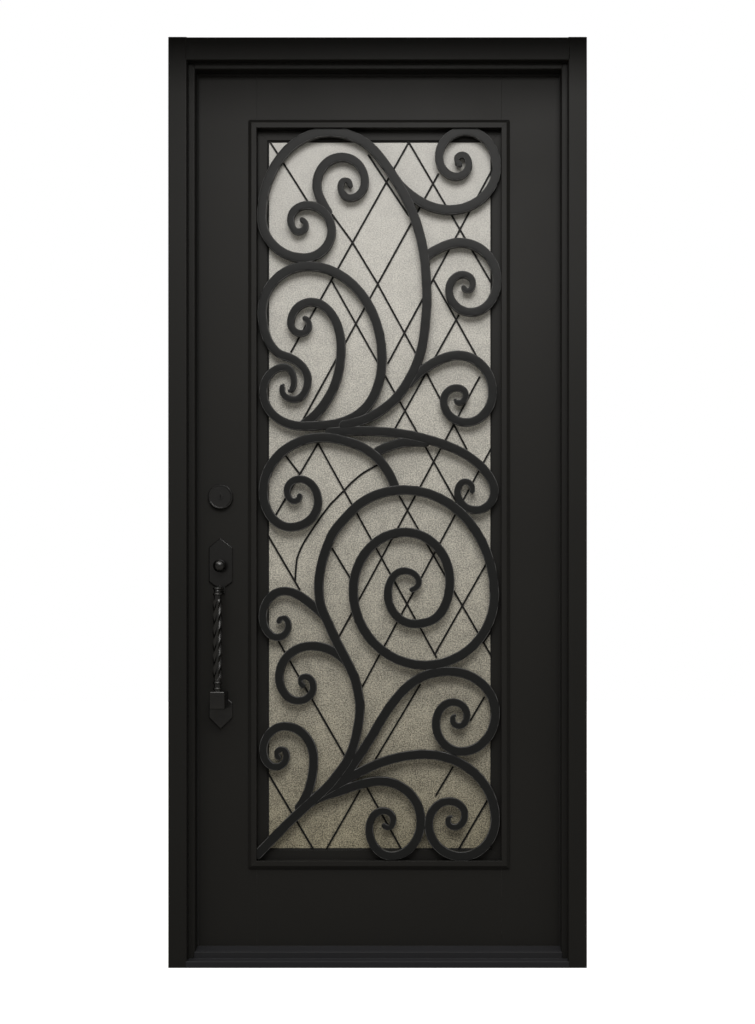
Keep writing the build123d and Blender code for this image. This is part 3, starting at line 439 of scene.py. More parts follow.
def centre_line(keys, steps):
    """Points and unit directions along a bar: a cubic between each two keys."""
    places = [(*fitted(x, z), heading) for x, z, heading in keys]
    line = []
    for start, end in zip(places, places[1:]):
        reach_a, reach_b = handles(start, end)
        ta = np.array((cos(radians(start[2])), sin(radians(start[2]))))
        tb = np.array((cos(radians(end[2])), sin(radians(end[2]))))
        p0, p3 = np.array(start[:2]), np.array(end[:2])
        p1, p2 = p0 + ta * reach_a, p3 - tb * reach_b
        t = np.linspace(0, 1, steps, endpoint=False)[:, None]
        if end is places[-1]:
            t = np.append(t, [[1.0]], 0)
        s = 1 - t
        at = s ** 3 * p0 + 3 * s * s * t * p1 + 3 * s * t * t * p2 + t ** 3 * p3
        way = s * s * (p1 - p0) + 2 * s * t * (p2 - p1) + t * t * (p3 - p2)
        way /= np.linalg.norm(way, axis=1)[:, None]
        line.append(np.hstack([at, way]))
    return np.concatenate(line)


def bar_widths(line, tips, work):
    """Full width in the body, drawn out exponentially to each tip, and less in tight bends."""
    step = np.hypot(*np.diff(line[:, :2], axis=0).T)
    along = np.concatenate([[0], np.cumsum(step)])
    away = along[-1] - along
    if tips == 2:
        away = np.minimum(away, along)
    if tips == 0:
        away = away + 1
    wide = work.tip + (work.body - work.tip) * (1 - np.exp(-away / work.taper))
    heading = np.unwrap(np.arctan2(line[:, 3], line[:, 2]))
    bend = np.abs(np.gradient(heading, along)) + 1e-6
    wide = np.minimum(wide, WIDEST_TURN / bend)
    kernel = np.array([1, 2, 3, 4, 3, 2, 1]) / 16
    wide = np.convolve(np.pad(wide, 3, mode="edge"), kernel, "valid")
    return wide, along


def bar_shell(keys, tips, work, depth, square=False):
    """A flat bar: a rounded oblong, crowned in front, carried along the bar's middle line.

    At each end the oblong narrows as a half circle does, which rounds it. The trunk's foot
    stays square, because it is cut off in the corner of the panel.
    """
    line = centre_line(keys, STEPS_A_STRETCH)
    wide, along = bar_widths(line, tips, work)
    ends = np.linspace(0, 1, 9)[1:] * radians(86)
    at, way, half, s = line[:, :2], line[:, 2:], wide / 2, along
    at = np.concatenate([at, at[-1] + np.outer(np.sin(ends) * half[-1], way[-1])])
    way = np.concatenate([way, np.repeat(way[-1:], len(ends), 0)])
    s = np.concatenate([s, s[-1] + np.sin(ends) * half[-1]])
    half = np.concatenate([half, half[-1] * np.cos(ends)])
    if not square:
        back = ends[::-1]
        at = np.concatenate([at[0] - np.outer(np.sin(back) * half[0], way[0]), at])
        way = np.concatenate([np.repeat(way[:1], len(back), 0), way])
        s = np.concatenate([-np.sin(back) * half[0], s])
        half = np.concatenate([half[0] * np.cos(back), half])
    waves = 0.010 * np.sin(s / LONG_WAVE) + 0.008 * np.sin(s / SHORT_WAVE + 1.7)
    half = half * (1 + waves)
    radius = np.minimum(work.easing, half * 0.8)
    corner = np.linspace(0, pi / 2, 5)
    thick = SCROLL_BACK - SCROLL_FRONT
    rings = []
    for quarter, (sx, sy) in enumerate(((1, -1), (-1, -1), (-1, 1), (1, 1))):
        across = np.cos(corner) if quarter % 2 == 0 else np.sin(corner)
        deep = np.sin(corner) if quarter % 2 == 0 else np.cos(corner)
        a = sx * ((half - radius)[:, None] + radius[:, None] * across)
        b = sy * (thick / 2 - radius[:, None] + radius[:, None] * deep)
        rings.append((a, b))
        if quarter == 0:
            flat = np.linspace(1, -1, 7)[1:-1]
            inner = (half - radius)[:, None] * flat
            rise = work.crown * (1 - flat ** 2) * (half / half.max())[:, None]
            ripple = FACE_WAVE_DEPTH * np.sin(s / FACE_WAVE)[:, None] * np.cos(2.3 * flat)
            rings.append((inner, -thick / 2 - rise * 0.6 + ripple))
    a = np.hstack([ring[0] for ring in rings])
    b = np.hstack([ring[1] for ring in rings])
    normal = np.stack([-way[:, 1], way[:, 0]], 1)
    x = at[:, :1] + a * normal[:, :1]
    z = at[:, 1:] + a * normal[:, 1:]
    y = (SCROLL_FRONT + SCROLL_BACK) / 2 + work.crown * 0.6 + depth + b
    return shell(np.stack([x, y, z], -1))


def bar_between(low, high):
    """A plain oblong bar between two corners, as two rings of four points."""
    (x0, y0, z0), (x1, y1, z1) = low, high
    return shell([[(x0, y0, z), (x1, y0, z), (x1, y1, z), (x0, y1, z)] for z in (z0, z1)])


# The handle and the small fasteners
def twisted_bar(work, x, y, low, high):
    """A square bar twisted about its own axis.

    A ring is a square with round corners and faces hollowed by a squared cosine of four
    times the angle. It turns in proportion to height and blends to a circle at each end.
    """
    height = np.linspace(0, 1, 190)
    angle = np.linspace(0, 2 * pi, 48, endpoint=False)
    c, s = np.abs(np.cos(angle)), np.abs(np.sin(angle))
    square = work.side / 2 / (c ** 9 + s ** 9) ** (1 / 9)
    hollow = work.hollow * np.maximum(np.cos(4 * angle), 0) ** 2
    square = square - hollow
    end = np.minimum(height, 1 - height) * (high - low) / (7 * MM)
    blend = np.clip(end, 0, 1)[:, None]
    blend = blend * blend * (3 - 2 * blend)
    radius = work.neck * (1 - blend) + square * blend
    turn = angle + (height * (high - low) * 2 * pi / work.pitch)[:, None]
    up = np.repeat((low + height * (high - low))[:, None], len(angle), 1)
    return shell(np.stack([x + radius * np.cos(turn), y + radius * np.sin(turn), up], -1))


def bent_neck(x, root, bend, radius):
    """A round neck that leaves the plate, turns down through a bend and meets the collar.

    Rings of a circle are carried along a straight, a quarter circle and a straight.
    """
    (y0, z0), (y1, z1) = root
    turn = np.linspace(0, pi / 2, 14)
    path = [(y0, z0, 0.0)]
    path += [(y1 + bend - bend * sin(t), z0 - bend + bend * cos(t), t) for t in turn]
    path += [(y1, z1, pi / 2)]
    angle = np.linspace(0, 2 * pi, 40, endpoint=False)
    rings = []
    for y, z, t in path:
        out = radius * np.cos(angle)
        rings.append(np.stack([x + radius * np.sin(angle), y - out * sin(t),
                               z + out * cos(t)], -1))
    return shell(rings)


def rounded_block(x, y0, y1, z0, z1, half, edge):
    """A block standing out along Y: rings of a rounded oblong, drawn in by a quarter circle.

    Its four long corners have the edge's radius, and so has its front.
    """
    corner = np.linspace(0, pi / 2, 7)
    z, tall = (z0 + z1) / 2, (z1 - z0) / 2
    steps = [(y1, 0.0)] + [(y0 + edge - edge * sin(t), edge * (1 - cos(t))) for t in corner]
    rings = []
    for y, inset in steps:
        ring = []
        for start in range(4):
            t = corner + start * pi / 2
            sx, sz = cos(start * pi / 2 + pi / 4), sin(start * pi / 2 + pi / 4)
            cx = np.sign(sx) * (half - edge)
            cz = np.sign(sz) * (tall - edge)
            r = edge - inset * 0.999
            ring.append(np.stack([x + cx + r * np.cos(t), np.full(7, y),
                                  z + cz + r * np.sin(t)], -1))
        rings.append(np.concatenate(ring))
    return shell(rings)


def collar(x, y, z, radius, height):
    """A ring round the grip: a turned bead with a full round rim."""
    t = np.linspace(-pi / 2, pi / 2, 13)
    half = height / 2
    core = radius - half
    profile = [(core + half * cos(a), half * sin(a)) for a in t]
    return turned(profile, (x, y, z), (0, 0, 1), 48)


def screw(place, axis, radius):
    """A countersunk screw head: a low dome, with its cross slot pressed in.

    The dome is a disc of rings. A ring point sinks where it lies within the slot's half
    width of either arm.
    """
    axis = np.array(axis, float)
    side = np.array((0, 0, 1.0)) if abs(axis[2]) < 0.5 else np.array((1.0, 0, 0))
    other = np.cross(axis, side)
    angle = np.linspace(0, 2 * pi, 48, endpoint=False)
    rings = []
    for share, rise in ((1.0, -0.3), (1.0, 0.0), (0.94, 0.10), (0.8, 0.16), (0.62, 0.20),
                        (0.55, 0.21), (0.42, 0.22), (0.30, 0.22), (0.18, 0.22), (0.06, 0.22)):
        a = share * radius * np.cos(angle + 0.35)
        b = share * radius * np.sin(angle + 0.35)
        slot = (np.minimum(np.abs(a), np.abs(b)) < 0.13 * radius) & (share < 0.6)
        deep = np.where(slot, rise - 0.45, rise) * radius
        rings.append(np.array(place) + a[:, None] * side + b[:, None] * other
                     + deep[:, None] * axis)
    return shell(rings)


# Shader helpers
def node(tree, kind, inputs=None, **settings):
    """A node with its settings and its inputs, each a value or another node's output."""
    made = tree.nodes.new(kind)
    for key, value in settings.items():
        setattr(made, key, value)
    for key, value in (inputs or {}).items():
        socket = made.inputs[key]
        if isinstance(value, bpy.types.NodeSocket):
            tree.links.new(value, socket)
        else:
            socket.default_value = value
    return made


def math(tree, operation, a, b=0.0):
    """The result of one sum."""
    return node(tree, "ShaderNodeMath", {0: a, 1: b}, operation=operation).outputs[0]


def mixed(tree, factor, a, b):
    """Two colours mixed by a factor."""
    made = node(tree, "ShaderNodeMix", {0: factor, 6: a, 7: b}, data_type="RGBA")
    return made.outputs[2]


def ramp(tree, factor, low, high):
    """A factor stretched so that low becomes 0 and high becomes 1."""
    made = node(tree, "ShaderNodeMapRange", {0: factor, 1: low, 2: high, 3: 0.0, 4: 1.0})
    return made.outputs[0]


def group(name, inputs, outputs):
    """An empty node group with its sockets, and its input and output nodes."""
    tree = bpy.data.node_groups.new(name, "ShaderNodeTree")
    for label, kind, value in inputs:
        socket = tree.interface.new_socket(label, in_out="INPUT", socket_type=kind)
        if value is not None:
            socket.default_value = value
    for label, kind in outputs:
        tree.interface.new_socket(label, in_out="OUTPUT", socket_type=kind)
    return tree, tree.nodes.new("NodeGroupInput"), tree.nodes.new("NodeGroupOutput")


def edge_wear_and_highlight_group():
    """Edges found by comparing the rounded normal with the true one, broken up by noise: the
    mask for edge wear, and on the hardware also for a painted highlight.
    """
    tree, given, result = group(
        "Edge wear and painted highlight",
        [("Vector", "NodeSocketVector", None), ("Radius", "NodeSocketFloat", 0.001),
         ("Breakup", "NodeSocketFloat", 60.0)],
        [("Mask", "NodeSocketFloat"), ("Normal", "NodeSocketVector")])
    bevel = node(tree, "ShaderNodeBevel", {"Radius": given.outputs["Radius"]}, samples=4)
    geometry = node(tree, "ShaderNodeNewGeometry")
    dot = node(tree, "ShaderNodeVectorMath",
               {0: bevel.outputs[0], 1: geometry.outputs["Normal"]}, operation="DOT_PRODUCT")
    edge = ramp(tree, dot.outputs["Value"], 0.995, 0.80)
    noise = node(tree, "ShaderNodeTexNoise",
                 {"Vector": given.outputs["Vector"], "Scale": given.outputs["Breakup"],
                  "Detail": 4.0})
    broken = math(tree, "MULTIPLY", edge, ramp(tree, noise.outputs[0], 0.38, 0.62))
    tree.links.new(broken, result.inputs["Mask"])
    tree.links.new(bevel.outputs[0], result.inputs["Normal"])
    return tree


def paint_group():
    """Sprayed satin paint: fine orange peel, slow drifts of tone and a fine speckle."""
    tree, given, result = group(
        "Sprayed paint",
        [("Vector", "NodeSocketVector", None), ("Color", "NodeSocketColor", (0.03,) * 3 + (1,)),
         ("Drift", "NodeSocketFloat", 0.12), ("Peel", "NodeSocketFloat", 420.0)],
        [("Color", "NodeSocketColor"), ("Height", "NodeSocketFloat"),
         ("Roughness", "NodeSocketFloat")])
    place = given.outputs["Vector"]
    slow = node(tree, "ShaderNodeTexNoise", {"Vector": place, "Scale": 3.2, "Detail": 3.0})
    fine = node(tree, "ShaderNodeTexNoise",
                {"Vector": place, "Scale": given.outputs["Peel"], "Detail": 2.0})
    speck = node(tree, "ShaderNodeTexNoise", {"Vector": place, "Scale": 1500.0, "Detail": 1.0})
    drift = math(tree, "MULTIPLY", math(tree, "SUBTRACT", slow.outputs[0], 0.5),
                 given.outputs["Drift"])
    grain = math(tree, "MULTIPLY", math(tree, "SUBTRACT", speck.outputs[0], 0.5), 0.10)
    level = math(tree, "ADD", 1.0, math(tree, "ADD", drift, grain))
    scaled = node(tree, "ShaderNodeVectorMath",
                  {0: given.outputs["Color"], "Scale": level}, operation="SCALE")
    height = math(tree, "ADD", fine.outputs[0], math(tree, "MULTIPLY", speck.outputs[0], 0.4))
    rough = math(tree, "MULTIPLY", math(tree, "SUBTRACT", slow.outputs[0], 0.5), 0.16)
    tree.links.new(scaled.outputs[0], result.inputs["Color"])
    tree.links.new(height, result.inputs["Height"])
    tree.links.new(rough, result.inputs["Roughness"])
    return tree


def hammer_group():
    """Hammer marks: smooth shallow cells of two sizes."""
    tree, given, result = group(
        "Hammer marks",
        [("Vector", "NodeSocketVector", None), ("Size", "NodeSocketFloat", 90.0)],
        [("Height", "NodeSocketFloat")])
    large = node(tree, "ShaderNodeTexVoronoi",
                 {"Vector": given.outputs["Vector"], "Scale": given.outputs["Size"]},
                 feature="SMOOTH_F1")
    small = node(tree, "ShaderNodeTexNoise",
                 {"Vector": given.outputs["Vector"], "Scale": 380.0, "Detail": 3.0})
    height = math(tree, "ADD", large.outputs["Distance"],
                  math(tree, "MULTIPLY", small.outputs[0], 0.5))
    tree.links.new(height, result.inputs["Height"])
    return tree


def bar_edge_wear_and_highlight_group():
    """The long rounded edges of a flat bar, found from how far the normal turns off Y: the mask
    for their wear and painted highlight.
    """
    tree, given, result = group(
        "Bar edge wear and painted highlight",
        [("Vector", "NodeSocketVector", None), ("Breakup", "NodeSocketFloat", 60.0)],
        [("Mask", "NodeSocketFloat")])
    normal = node(tree, "ShaderNodeTexCoord").outputs["Normal"]
    y = node(tree, "ShaderNodeSeparateXYZ", {0: normal}).outputs["Y"]
    square = math(tree, "MULTIPLY", y, y)
    edge = math(tree, "MULTIPLY", ramp(tree, square, 0.40, 0.60), ramp(tree, square, 0.99, 0.93))
    noise = node(tree, "ShaderNodeTexNoise",
                 {"Vector": given.outputs["Vector"], "Scale": given.outputs["Breakup"],
                  "Detail": 4.0})
    broken = math(tree, "MULTIPLY", edge, ramp(tree, noise.outputs[0], 0.34, 0.56))
    tree.links.new(broken, result.inputs["Mask"])
    return tree


def material(name):
    """An empty material: its tree, its shader and its Object coordinates."""
    made = bpy.data.materials.new(name)
    made.use_nodes = True
    tree = made.node_tree
    shader = tree.nodes["Principled BSDF"]
    place = node(tree, "ShaderNodeTexCoord").outputs["Object"]
    return made, tree, shader, place


def fill(tree, made_group, inputs):
    """A node group in a tree, its tree set before its inputs are."""
    made = tree.nodes.new("ShaderNodeGroup")
    made.node_tree = made_group
    for key, value in inputs.items():
        if isinstance(value, bpy.types.NodeSocket):
            tree.links.new(value, made.inputs[key])
        else:
            made.inputs[key].default_value = value
    return made


def painted(name, colour, rough, wear, shared, bump=0.00002, radius=0.0012, hammered=0.0,
            bar_edge_wear_and_highlight=False, specular=0.21):
    """Painted or blackened metal: paint, lightened edges and, where asked, hammer marks. The
    lightened edges are rubbed wear, and on the scroll bars and the hardware partly a painted
    highlight.
    """
    made, tree, shader, place = material(name)
    paint = fill(tree, shared["paint"], {"Vector": place, "Color": (*colour, 1)})
    edge = fill(tree, shared["edge"], {"Vector": place, "Radius": radius})
    mask = edge.outputs["Mask"]
    if bar_edge_wear_and_highlight:
        mask = fill(tree, shared["bar"], {"Vector": place}).outputs["Mask"]
    # Edges lightened by the mask: rubbed wear, and where the wear is set high, as on the scroll
    # bars and the hardware, also a painted highlight
    wear_and_highlight = math(tree, "MULTIPLY", mask, wear)
    # On the scroll bars the edges are lightened to a much paler grey: partly bare metal, partly
    # a painted highlight along the bar edges
    bright = tuple(min(1.0, c * 4 + (0.17 if bar_edge_wear_and_highlight else 0.06)) for c in colour)
    colour_out = mixed(tree, wear_and_highlight, paint.outputs["Color"], (*bright, 1))
    tree.links.new(colour_out, shader.inputs["Base Color"])
    rough_out = math(tree, "ADD", paint.outputs["Roughness"], rough)
    tree.links.new(math(tree, "SUBTRACT", rough_out, math(tree, "MULTIPLY", wear_and_highlight, 0.15)),
                   shader.inputs["Roughness"])
    normal = node(tree, "ShaderNodeBump",
                  {"Height": paint.outputs["Height"], "Distance": bump, "Strength": 1.0,
                   "Normal": edge.outputs["Normal"]})
    if hammered:
        marks = fill(tree, shared["hammer"], {"Vector": place})
        normal = node(tree, "ShaderNodeBump",
                      {"Height": marks.outputs["Height"], "Distance": hammered,
                       "Strength": 1.0, "Normal": normal.outputs[0]})
    tree.links.new(normal.outputs[0], shader.inputs["Normal"])
    shader.inputs["Specular IOR Level"].default_value = specular
    return made


def obscure_glass(look):
    """Obscure glass: fine grains and soft blotches in relief, with painted light: pale towards
    the head, darker towards the foot.
    """
    made, tree, shader, place = material("obscure_glass")
    z = node(tree, "ShaderNodeSeparateXYZ", {0: place}).outputs["Z"]
    rise = ramp(tree, z, PANEL_BOTTOM, PANEL_TOP)
    grain = node(tree, "ShaderNodeTexNoise",
                 {"Vector": place, "Scale": 1.0 / look.grain, "Detail": 2.0, "Roughness": 0.7})
    blotch = node(tree, "ShaderNodeTexNoise", {"Vector": place, "Scale": 42.0, "Detail": 4.0})
    # Painted light and shade: the glass's colour is mixed from the dark foot colour to the pale
    # top colour by height, and its grain is stronger towards the foot
    tone = mixed(tree, rise, (*look.painted_shade_foot_colour, 1), (*look.painted_light_top_colour, 1))
    vary = math(tree, "ADD", math(tree, "MULTIPLY", grain.outputs[0], 0.85),
                math(tree, "MULTIPLY", blotch.outputs[0], 0.15))
    sharp = ramp(tree, vary, 0.38, 0.62)
    depth = math(tree, "SUBTRACT", 1.5, math(tree, "MULTIPLY", rise, 1.3))
    level = math(tree, "ADD", 1.0, math(tree, "MULTIPLY", depth, math(
        tree, "SUBTRACT", sharp, 0.5)))
    scaled = node(tree, "ShaderNodeVectorMath", {0: tone, "Scale": level}, operation="SCALE")
    tree.links.new(scaled.outputs[0], shader.inputs["Base Color"])
    bump = node(tree, "ShaderNodeBump",
                {"Height": vary, "Distance": 0.0012, "Strength": 0.7})
    tree.links.new(bump.outputs[0], shader.inputs["Normal"])
    shader.inputs["Roughness"].default_value = 0.42
    shader.inputs["IOR"].default_value = 1.5
    return made


def rubber():
    """Matt black rubber with a fine grain."""
    made, tree, shader, place = material("seal_rubber")
    noise = node(tree, "ShaderNodeTexNoise", {"Vector": place, "Scale": 700.0, "Detail": 2.0})
    tree.links.new(mixed(tree, noise.outputs[0], (0.008, 0.008, 0.008, 1),
                         (0.018, 0.018, 0.018, 1)), shader.inputs["Base Color"])
    shader.inputs["Roughness"].default_value = 0.8
    return made


def brushed():
    """Brushed steel, its grain running up the plate."""
    made, tree, shader, place = material("plate_steel")
    stretched = node(tree, "ShaderNodeMapping", {"Vector": place, "Scale": (900, 900, 30)})
    noise = node(tree, "ShaderNodeTexNoise",
                 {"Vector": stretched.outputs[0], "Scale": 1.0, "Detail": 2.0})
    tree.links.new(mixed(tree, noise.outputs[0], (0.30, 0.29, 0.27, 1),
                         (0.50, 0.49, 0.46, 1)), shader.inputs["Base Color"])
    tree.links.new(ramp(tree, noise.outputs[0], -0.6, 1.8), shader.inputs["Roughness"])
    shader.inputs["Metallic"].default_value = 1.0
    return made


MATERIALS = {}


def finish(names, made, easing=0.0):
    """Give CAD nodes a material, and where asked ease their sharp edges."""
    for name in names:
        kept = bpy.data.objects[name]
        kept.data.materials.clear()
        kept.data.materials.append(made)
        if easing:
            eased = kept.modifiers.new("eased edges", "BEVEL")
            eased.width = easing
            eased.segments = 2
            eased.limit_method = "ANGLE"
            eased.angle_limit = radians(35)
            eased.harden_normals = True


def plate_screws(name, body, plate_height, reach, way):
    """Two screws in each of two plates, one above the other, that face along X."""
    low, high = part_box(name)
    x = (high.x if way > 0 else low.x) - way * PLATE_SCREW_SINK
    y = (low.y + high.y) / 2
    middles = (low.z + plate_height / 2, high.z - plate_height / 2)
    shells = [screw((x, y, z + side * reach), (way, 0, 0), PLATE_SCREW_RADIUS)
              for z in middles for side in (-1, 1)]
    piece(name + "_screws", shells, MATERIALS["steel"], body)


def hinge_screws(place, half):
    """Three screws in one wing of a hinge, on the body that its half is named after."""
    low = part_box("hinge_" + place + "_" + half + "_half")[0]
    inward = 1 if half == "frame" else -1
    x = HINGE_X + inward * HINGE_WING_MIDDLE
    y = LEAF_HIGH.y + HINGE_WING_THICKNESS
    z = low.z + HINGE_HALF_MIDDLE
    shells = [screw((x + dx * inward * MM, y, z + dz * MM), (0, 1, 0), HINGE_SCREW_RADIUS)
              for dx, dz in HINGE_SCREWS]
    piece("hinge_screws_" + place + "_" + half, shells, MATERIALS["hardware"], half)


class DOOR_OT_finishes(bpy.types.Operator):
    """Build the paint, iron, glass and rubber finishes."""
    bl_idname = "door.finishes"
    bl_label = "Finishes"

    def execute(self, context):
        look = context.scene.door_finish
        shared = {"edge": edge_wear_and_highlight_group(), "paint": paint_group(), "hammer": hammer_group(),
                  "bar": bar_edge_wear_and_highlight_group()}
        MATERIALS["frame"] = painted("frame_paint", look.frame_colour, look.gloss, look.wear,
                                     shared)
        # Threshold: dark paint, lightened and blued as a painted reflection of the sky
        MATERIALS["sill"] = painted("sill_paint_painted_reflection", look.sill_painted_reflection_colour, look.gloss, look.wear,
                                    shared)
        MATERIALS["leaf"] = painted("leaf_paint", look.leaf_colour, look.gloss, look.wear,
                                    shared)
        # Scroll bars: edges lightened at twice the paint's wear, to a pale grey: partly rubbed
        # wear, partly a painted highlight along the bar edges
        MATERIALS["iron"] = painted("scroll_iron", look.iron_colour, 0.38, look.wear * 2, shared,
                                    hammered=0.00007, bar_edge_wear_and_highlight=True, specular=0.20)
        MATERIALS["lattice"] = painted("lattice_strip", (0.010, 0.010, 0.010), 0.5, 0.1, shared)
        # Hardware: edges lightened at full strength: partly rubbed wear, partly a painted
        # highlight on the chamfers
        MATERIALS["hardware"] = painted("black_hardware", look.hardware_colour, 0.25, 1.0,
                                        shared, hammered=0.00008, radius=0.0008,
                                        specular=0.8)
        MATERIALS["glass"] = obscure_glass(context.scene.door_glass)
        MATERIALS["rubber"] = rubber()
        MATERIALS["steel"] = brushed()
        return {"FINISHED"}


class DOOR_OT_frame(bpy.types.Operator):
    """Finish the jambs, head, threshold and seals."""
    bl_idname = "door.frame"
    bl_label = "Frame"

    def execute(self, context):
        finish(("strike_jamb", "hinge_jamb", "head_jamb"), MATERIALS["frame"], FRAME_EASING)
        finish(("threshold",), MATERIALS["sill"], FRAME_EASING)
        finish(("weatherstrip",), MATERIALS["rubber"])
        finish(("strike_plates", "edge_faceplates"), MATERIALS["steel"])
        plate_screws("strike_plates", "frame", STRIKE_HEIGHT, STRIKE_SCREW_REACH, 1)
        plate_screws("edge_faceplates", "leaf", FACEPLATE_HEIGHT, FACEPLATE_SCREW_REACH, -1)
        return {"FINISHED"}


class DOOR_OT_leaf(bpy.types.Operator):
    """Finish the stiles, rails, moulding, glass channels and glass."""
    bl_idname = "door.leaf"
    bl_label = "Leaf"

    def execute(self, context):
        names = ["lock_stile", "hinge_stile", "top_rail", "bottom_rail"]
        for side in ("left", "right", "top", "bottom"):
            names += ["panel_bead_" + side, "glass_sash_" + side]
        finish(names, MATERIALS["leaf"], LEAF_EASING)
        finish(("glass_unit",), MATERIALS["glass"])
        finish(("diamond_lattice",), MATERIALS["lattice"])
        seal = context.scene.door_glass
        left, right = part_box("glass_sash_left")[1][0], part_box("glass_sash_right")[0][0]
        low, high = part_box("glass_sash_bottom")[1][2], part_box("glass_sash_top")[0][2]
        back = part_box("glass_unit")[0][1]
        front, wide = back - seal.gasket_depth, seal.gasket
        shells = [
            bar_between((left, front, low), (left + wide, back, high)),
            bar_between((right - wide, front, low), (right, back, high)),
            bar_between((left + wide, front, low), (right - wide, back, low + wide)),
            bar_between((left + wide, front, high - wide), (right - wide, back, high)),
        ]
        piece("glass_gasket", shells, MATERIALS["rubber"], "leaf")
        return {"FINISHED"}


class DOOR_OT_ironwork(bpy.types.Operator):
    """Make the scroll bars with eased edges and drawn-out tips."""
    bl_idname = "door.ironwork"
    bl_label = "Ironwork"

    def execute(self, context):
        work = context.scene.door_ironwork
        for name, bars in BARS.items():
            tips = 2 if name in BOTH_ENDS_CURLED else 0 if name in NO_END_CURLED else 1
            depth = SET_BACK.get(name, 0) * work.set_back
            square = name == "trunk_scroll"
            shells = [bar_shell(keys, tips, work, depth, square) for keys in bars]
            piece("forged_" + name, shells, MATERIALS["iron"], "leaf", (name,))
        return {"FINISHED"}


class DOOR_OT_handle(bpy.types.Operator):
    """Finish the handle set, locks and hinges."""
    bl_idname = "door.handle"
    bl_label = "Handle and locks"

    def execute(self, context):
        work = context.scene.door_grip
        low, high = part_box("handle_grip")
        x = (low.x + high.x) / 2
        y = low.y + GRIP_AXIS_DEPTH
        foot = low.z + BOSS_HEIGHT
        neck_end = high.z - NECK_DROP
        shells = [
            rounded_block(x, low.y, high.y, low.z, foot, (high.x - low.x) / 2, BOSS_EDGE),
            bent_neck(x, ((high.y, high.z - work.neck), (y, neck_end)), NECK_BEND, work.neck),
            twisted_bar(work, x, y, foot + TWIST_RISE, neck_end),
            turned([(work.neck, 0), (work.neck, FOOT_NECK_LENGTH)], (x, y, foot - MM),
                   (0, 0, 1), 40),
        ]
        heights = [high.z - drop * MM for drop in TOP_COLLAR_DROPS]
        heights += [foot + rise * MM for rise in FOOT_COLLAR_RISES]
        shells += [collar(x, y, z, work.collar, COLLAR_HEIGHT) for z in heights]
        piece("twisted_grip", shells, MATERIALS["hardware"], "leaf",
              ("handle_grip",), 50)
        names = ["handle_top_plate", "handle_bottom_plate", "thumb_piece",
                 "deadbolt_rose", "key_plug", "interior_knob", "interior_turn"]
        for place in ("bottom", "middle", "top"):
            names += ["hinge_" + place + "_frame_half", "hinge_" + place + "_leaf_half"]
        finish(names, MATERIALS["hardware"])
        for place in ("bottom", "middle", "top"):
            hinge_screws(place, "frame")
            hinge_screws(place, "leaf")
        return {"FINISHED"}


def oblong(name, low, high, z):
    """A flat oblong of the stage, from its low corner to its high one."""
    (x0, y0), (x1, y1) = low, high
    mesh = bpy.data.meshes.new(name)
    mesh.from_pydata([(x0, y0, z), (x1, y0, z), (x1, y1, z), (x0, y1, z)], [], [(0, 1, 2, 3)])
    made = bpy.data.objects.new(name, mesh)
    bpy.context.scene.collection.objects.link(made)
    return made


def plain(name, colour, rough):
    """A material of one colour, its tree and its shader."""
    made = bpy.data.materials.new(name)
    made.use_nodes = True
    shader = made.node_tree.nodes["Principled BSDF"]
    shader.inputs["Base Color"].default_value = (*colour, 1)
    shader.inputs["Roughness"].default_value = rough
    return made, made.node_tree, shader


def pale_floor():
    """A wide floor that lights the door as a dull one and looks white to the camera."""
    floor = oblong("floor", (-FLOOR_REACH, -FLOOR_REACH), (FLOOR_REACH, FLOOR_REACH), 0)
    pale, tree, shader = plain("pale_floor", (0.20, 0.195, 0.185), 0.9)
    seen = node(tree, "ShaderNodeLightPath").outputs["Is Camera Ray"]
    tree.links.new(math(tree, "MULTIPLY", seen, 1.0), shader.inputs["Emission Strength"])
    shader.inputs["Emission Color"].default_value = (1, 1, 1, 1)
    floor.data.materials.append(pale)


def graded_sky(studio):
    """Even light from all round, stronger from straight above, and white to the camera."""
    world = bpy.data.worlds.new("studio")
    bpy.context.scene.world = world
    world.use_nodes = True
    tree = world.node_tree
    ground = tree.nodes["Background"]
    seen = node(tree, "ShaderNodeLightPath").outputs["Is Camera Ray"]
    tree.links.new(mixed(tree, seen, (1.0, 0.97, 0.92, 1), (1, 1, 1, 1)),
                   ground.inputs["Color"])
    towards = node(tree, "ShaderNodeNewGeometry").outputs["Incoming"]
    down = node(tree, "ShaderNodeSeparateXYZ", {0: towards}).outputs["Z"]
    sky = node(tree, "ShaderNodeMapRange",
               {0: down, 1: -0.45, 2: -0.95, 3: studio.sky, 4: studio.zenith},
               interpolation_type="SMOOTHSTEP")
    level = node(tree, "ShaderNodeMix", {0: seen, 2: sky.outputs[0], 3: 1.0})
    tree.links.new(level.outputs[0], ground.inputs["Strength"])


def key_lamp(power):
    """A large oblong area lamp in front of the door and over it, turned to face it."""
    lamp = bpy.data.lights.new("key", "AREA")
    lamp.shape = "RECTANGLE"
    lamp.size, lamp.size_y = KEY_SIZE
    lamp.energy = power
    lamp.color = (1.0, 0.98, 0.95)
    made = bpy.data.objects.new("key", lamp)
    made.location = KEY_PLACE
    way = np.array(KEY_TARGET) - np.array(KEY_PLACE)
    way = way / np.linalg.norm(way)
    made.rotation_euler = (pi / 2 + np.arcsin(way[2]), 0, -np.arctan2(way[0], way[1]))
    bpy.context.scene.collection.objects.link(made)


def dark_flag(reach):
    """A dark card over the head, out of the camera's sight, that shades it from above."""
    near = FACE_Y - FLAG_SET_OFF
    card = oblong("flag", (-FLAG_HALF_WIDTH, near - reach), (FLAG_HALF_WIDTH, near),
                  CAD_BOX[1][2] + FLAG_RISE)
    card.visible_camera = False
    dark = plain("dark_card", (0.02, 0.02, 0.02), 1.0)[0]
    card.data.materials.append(dark)


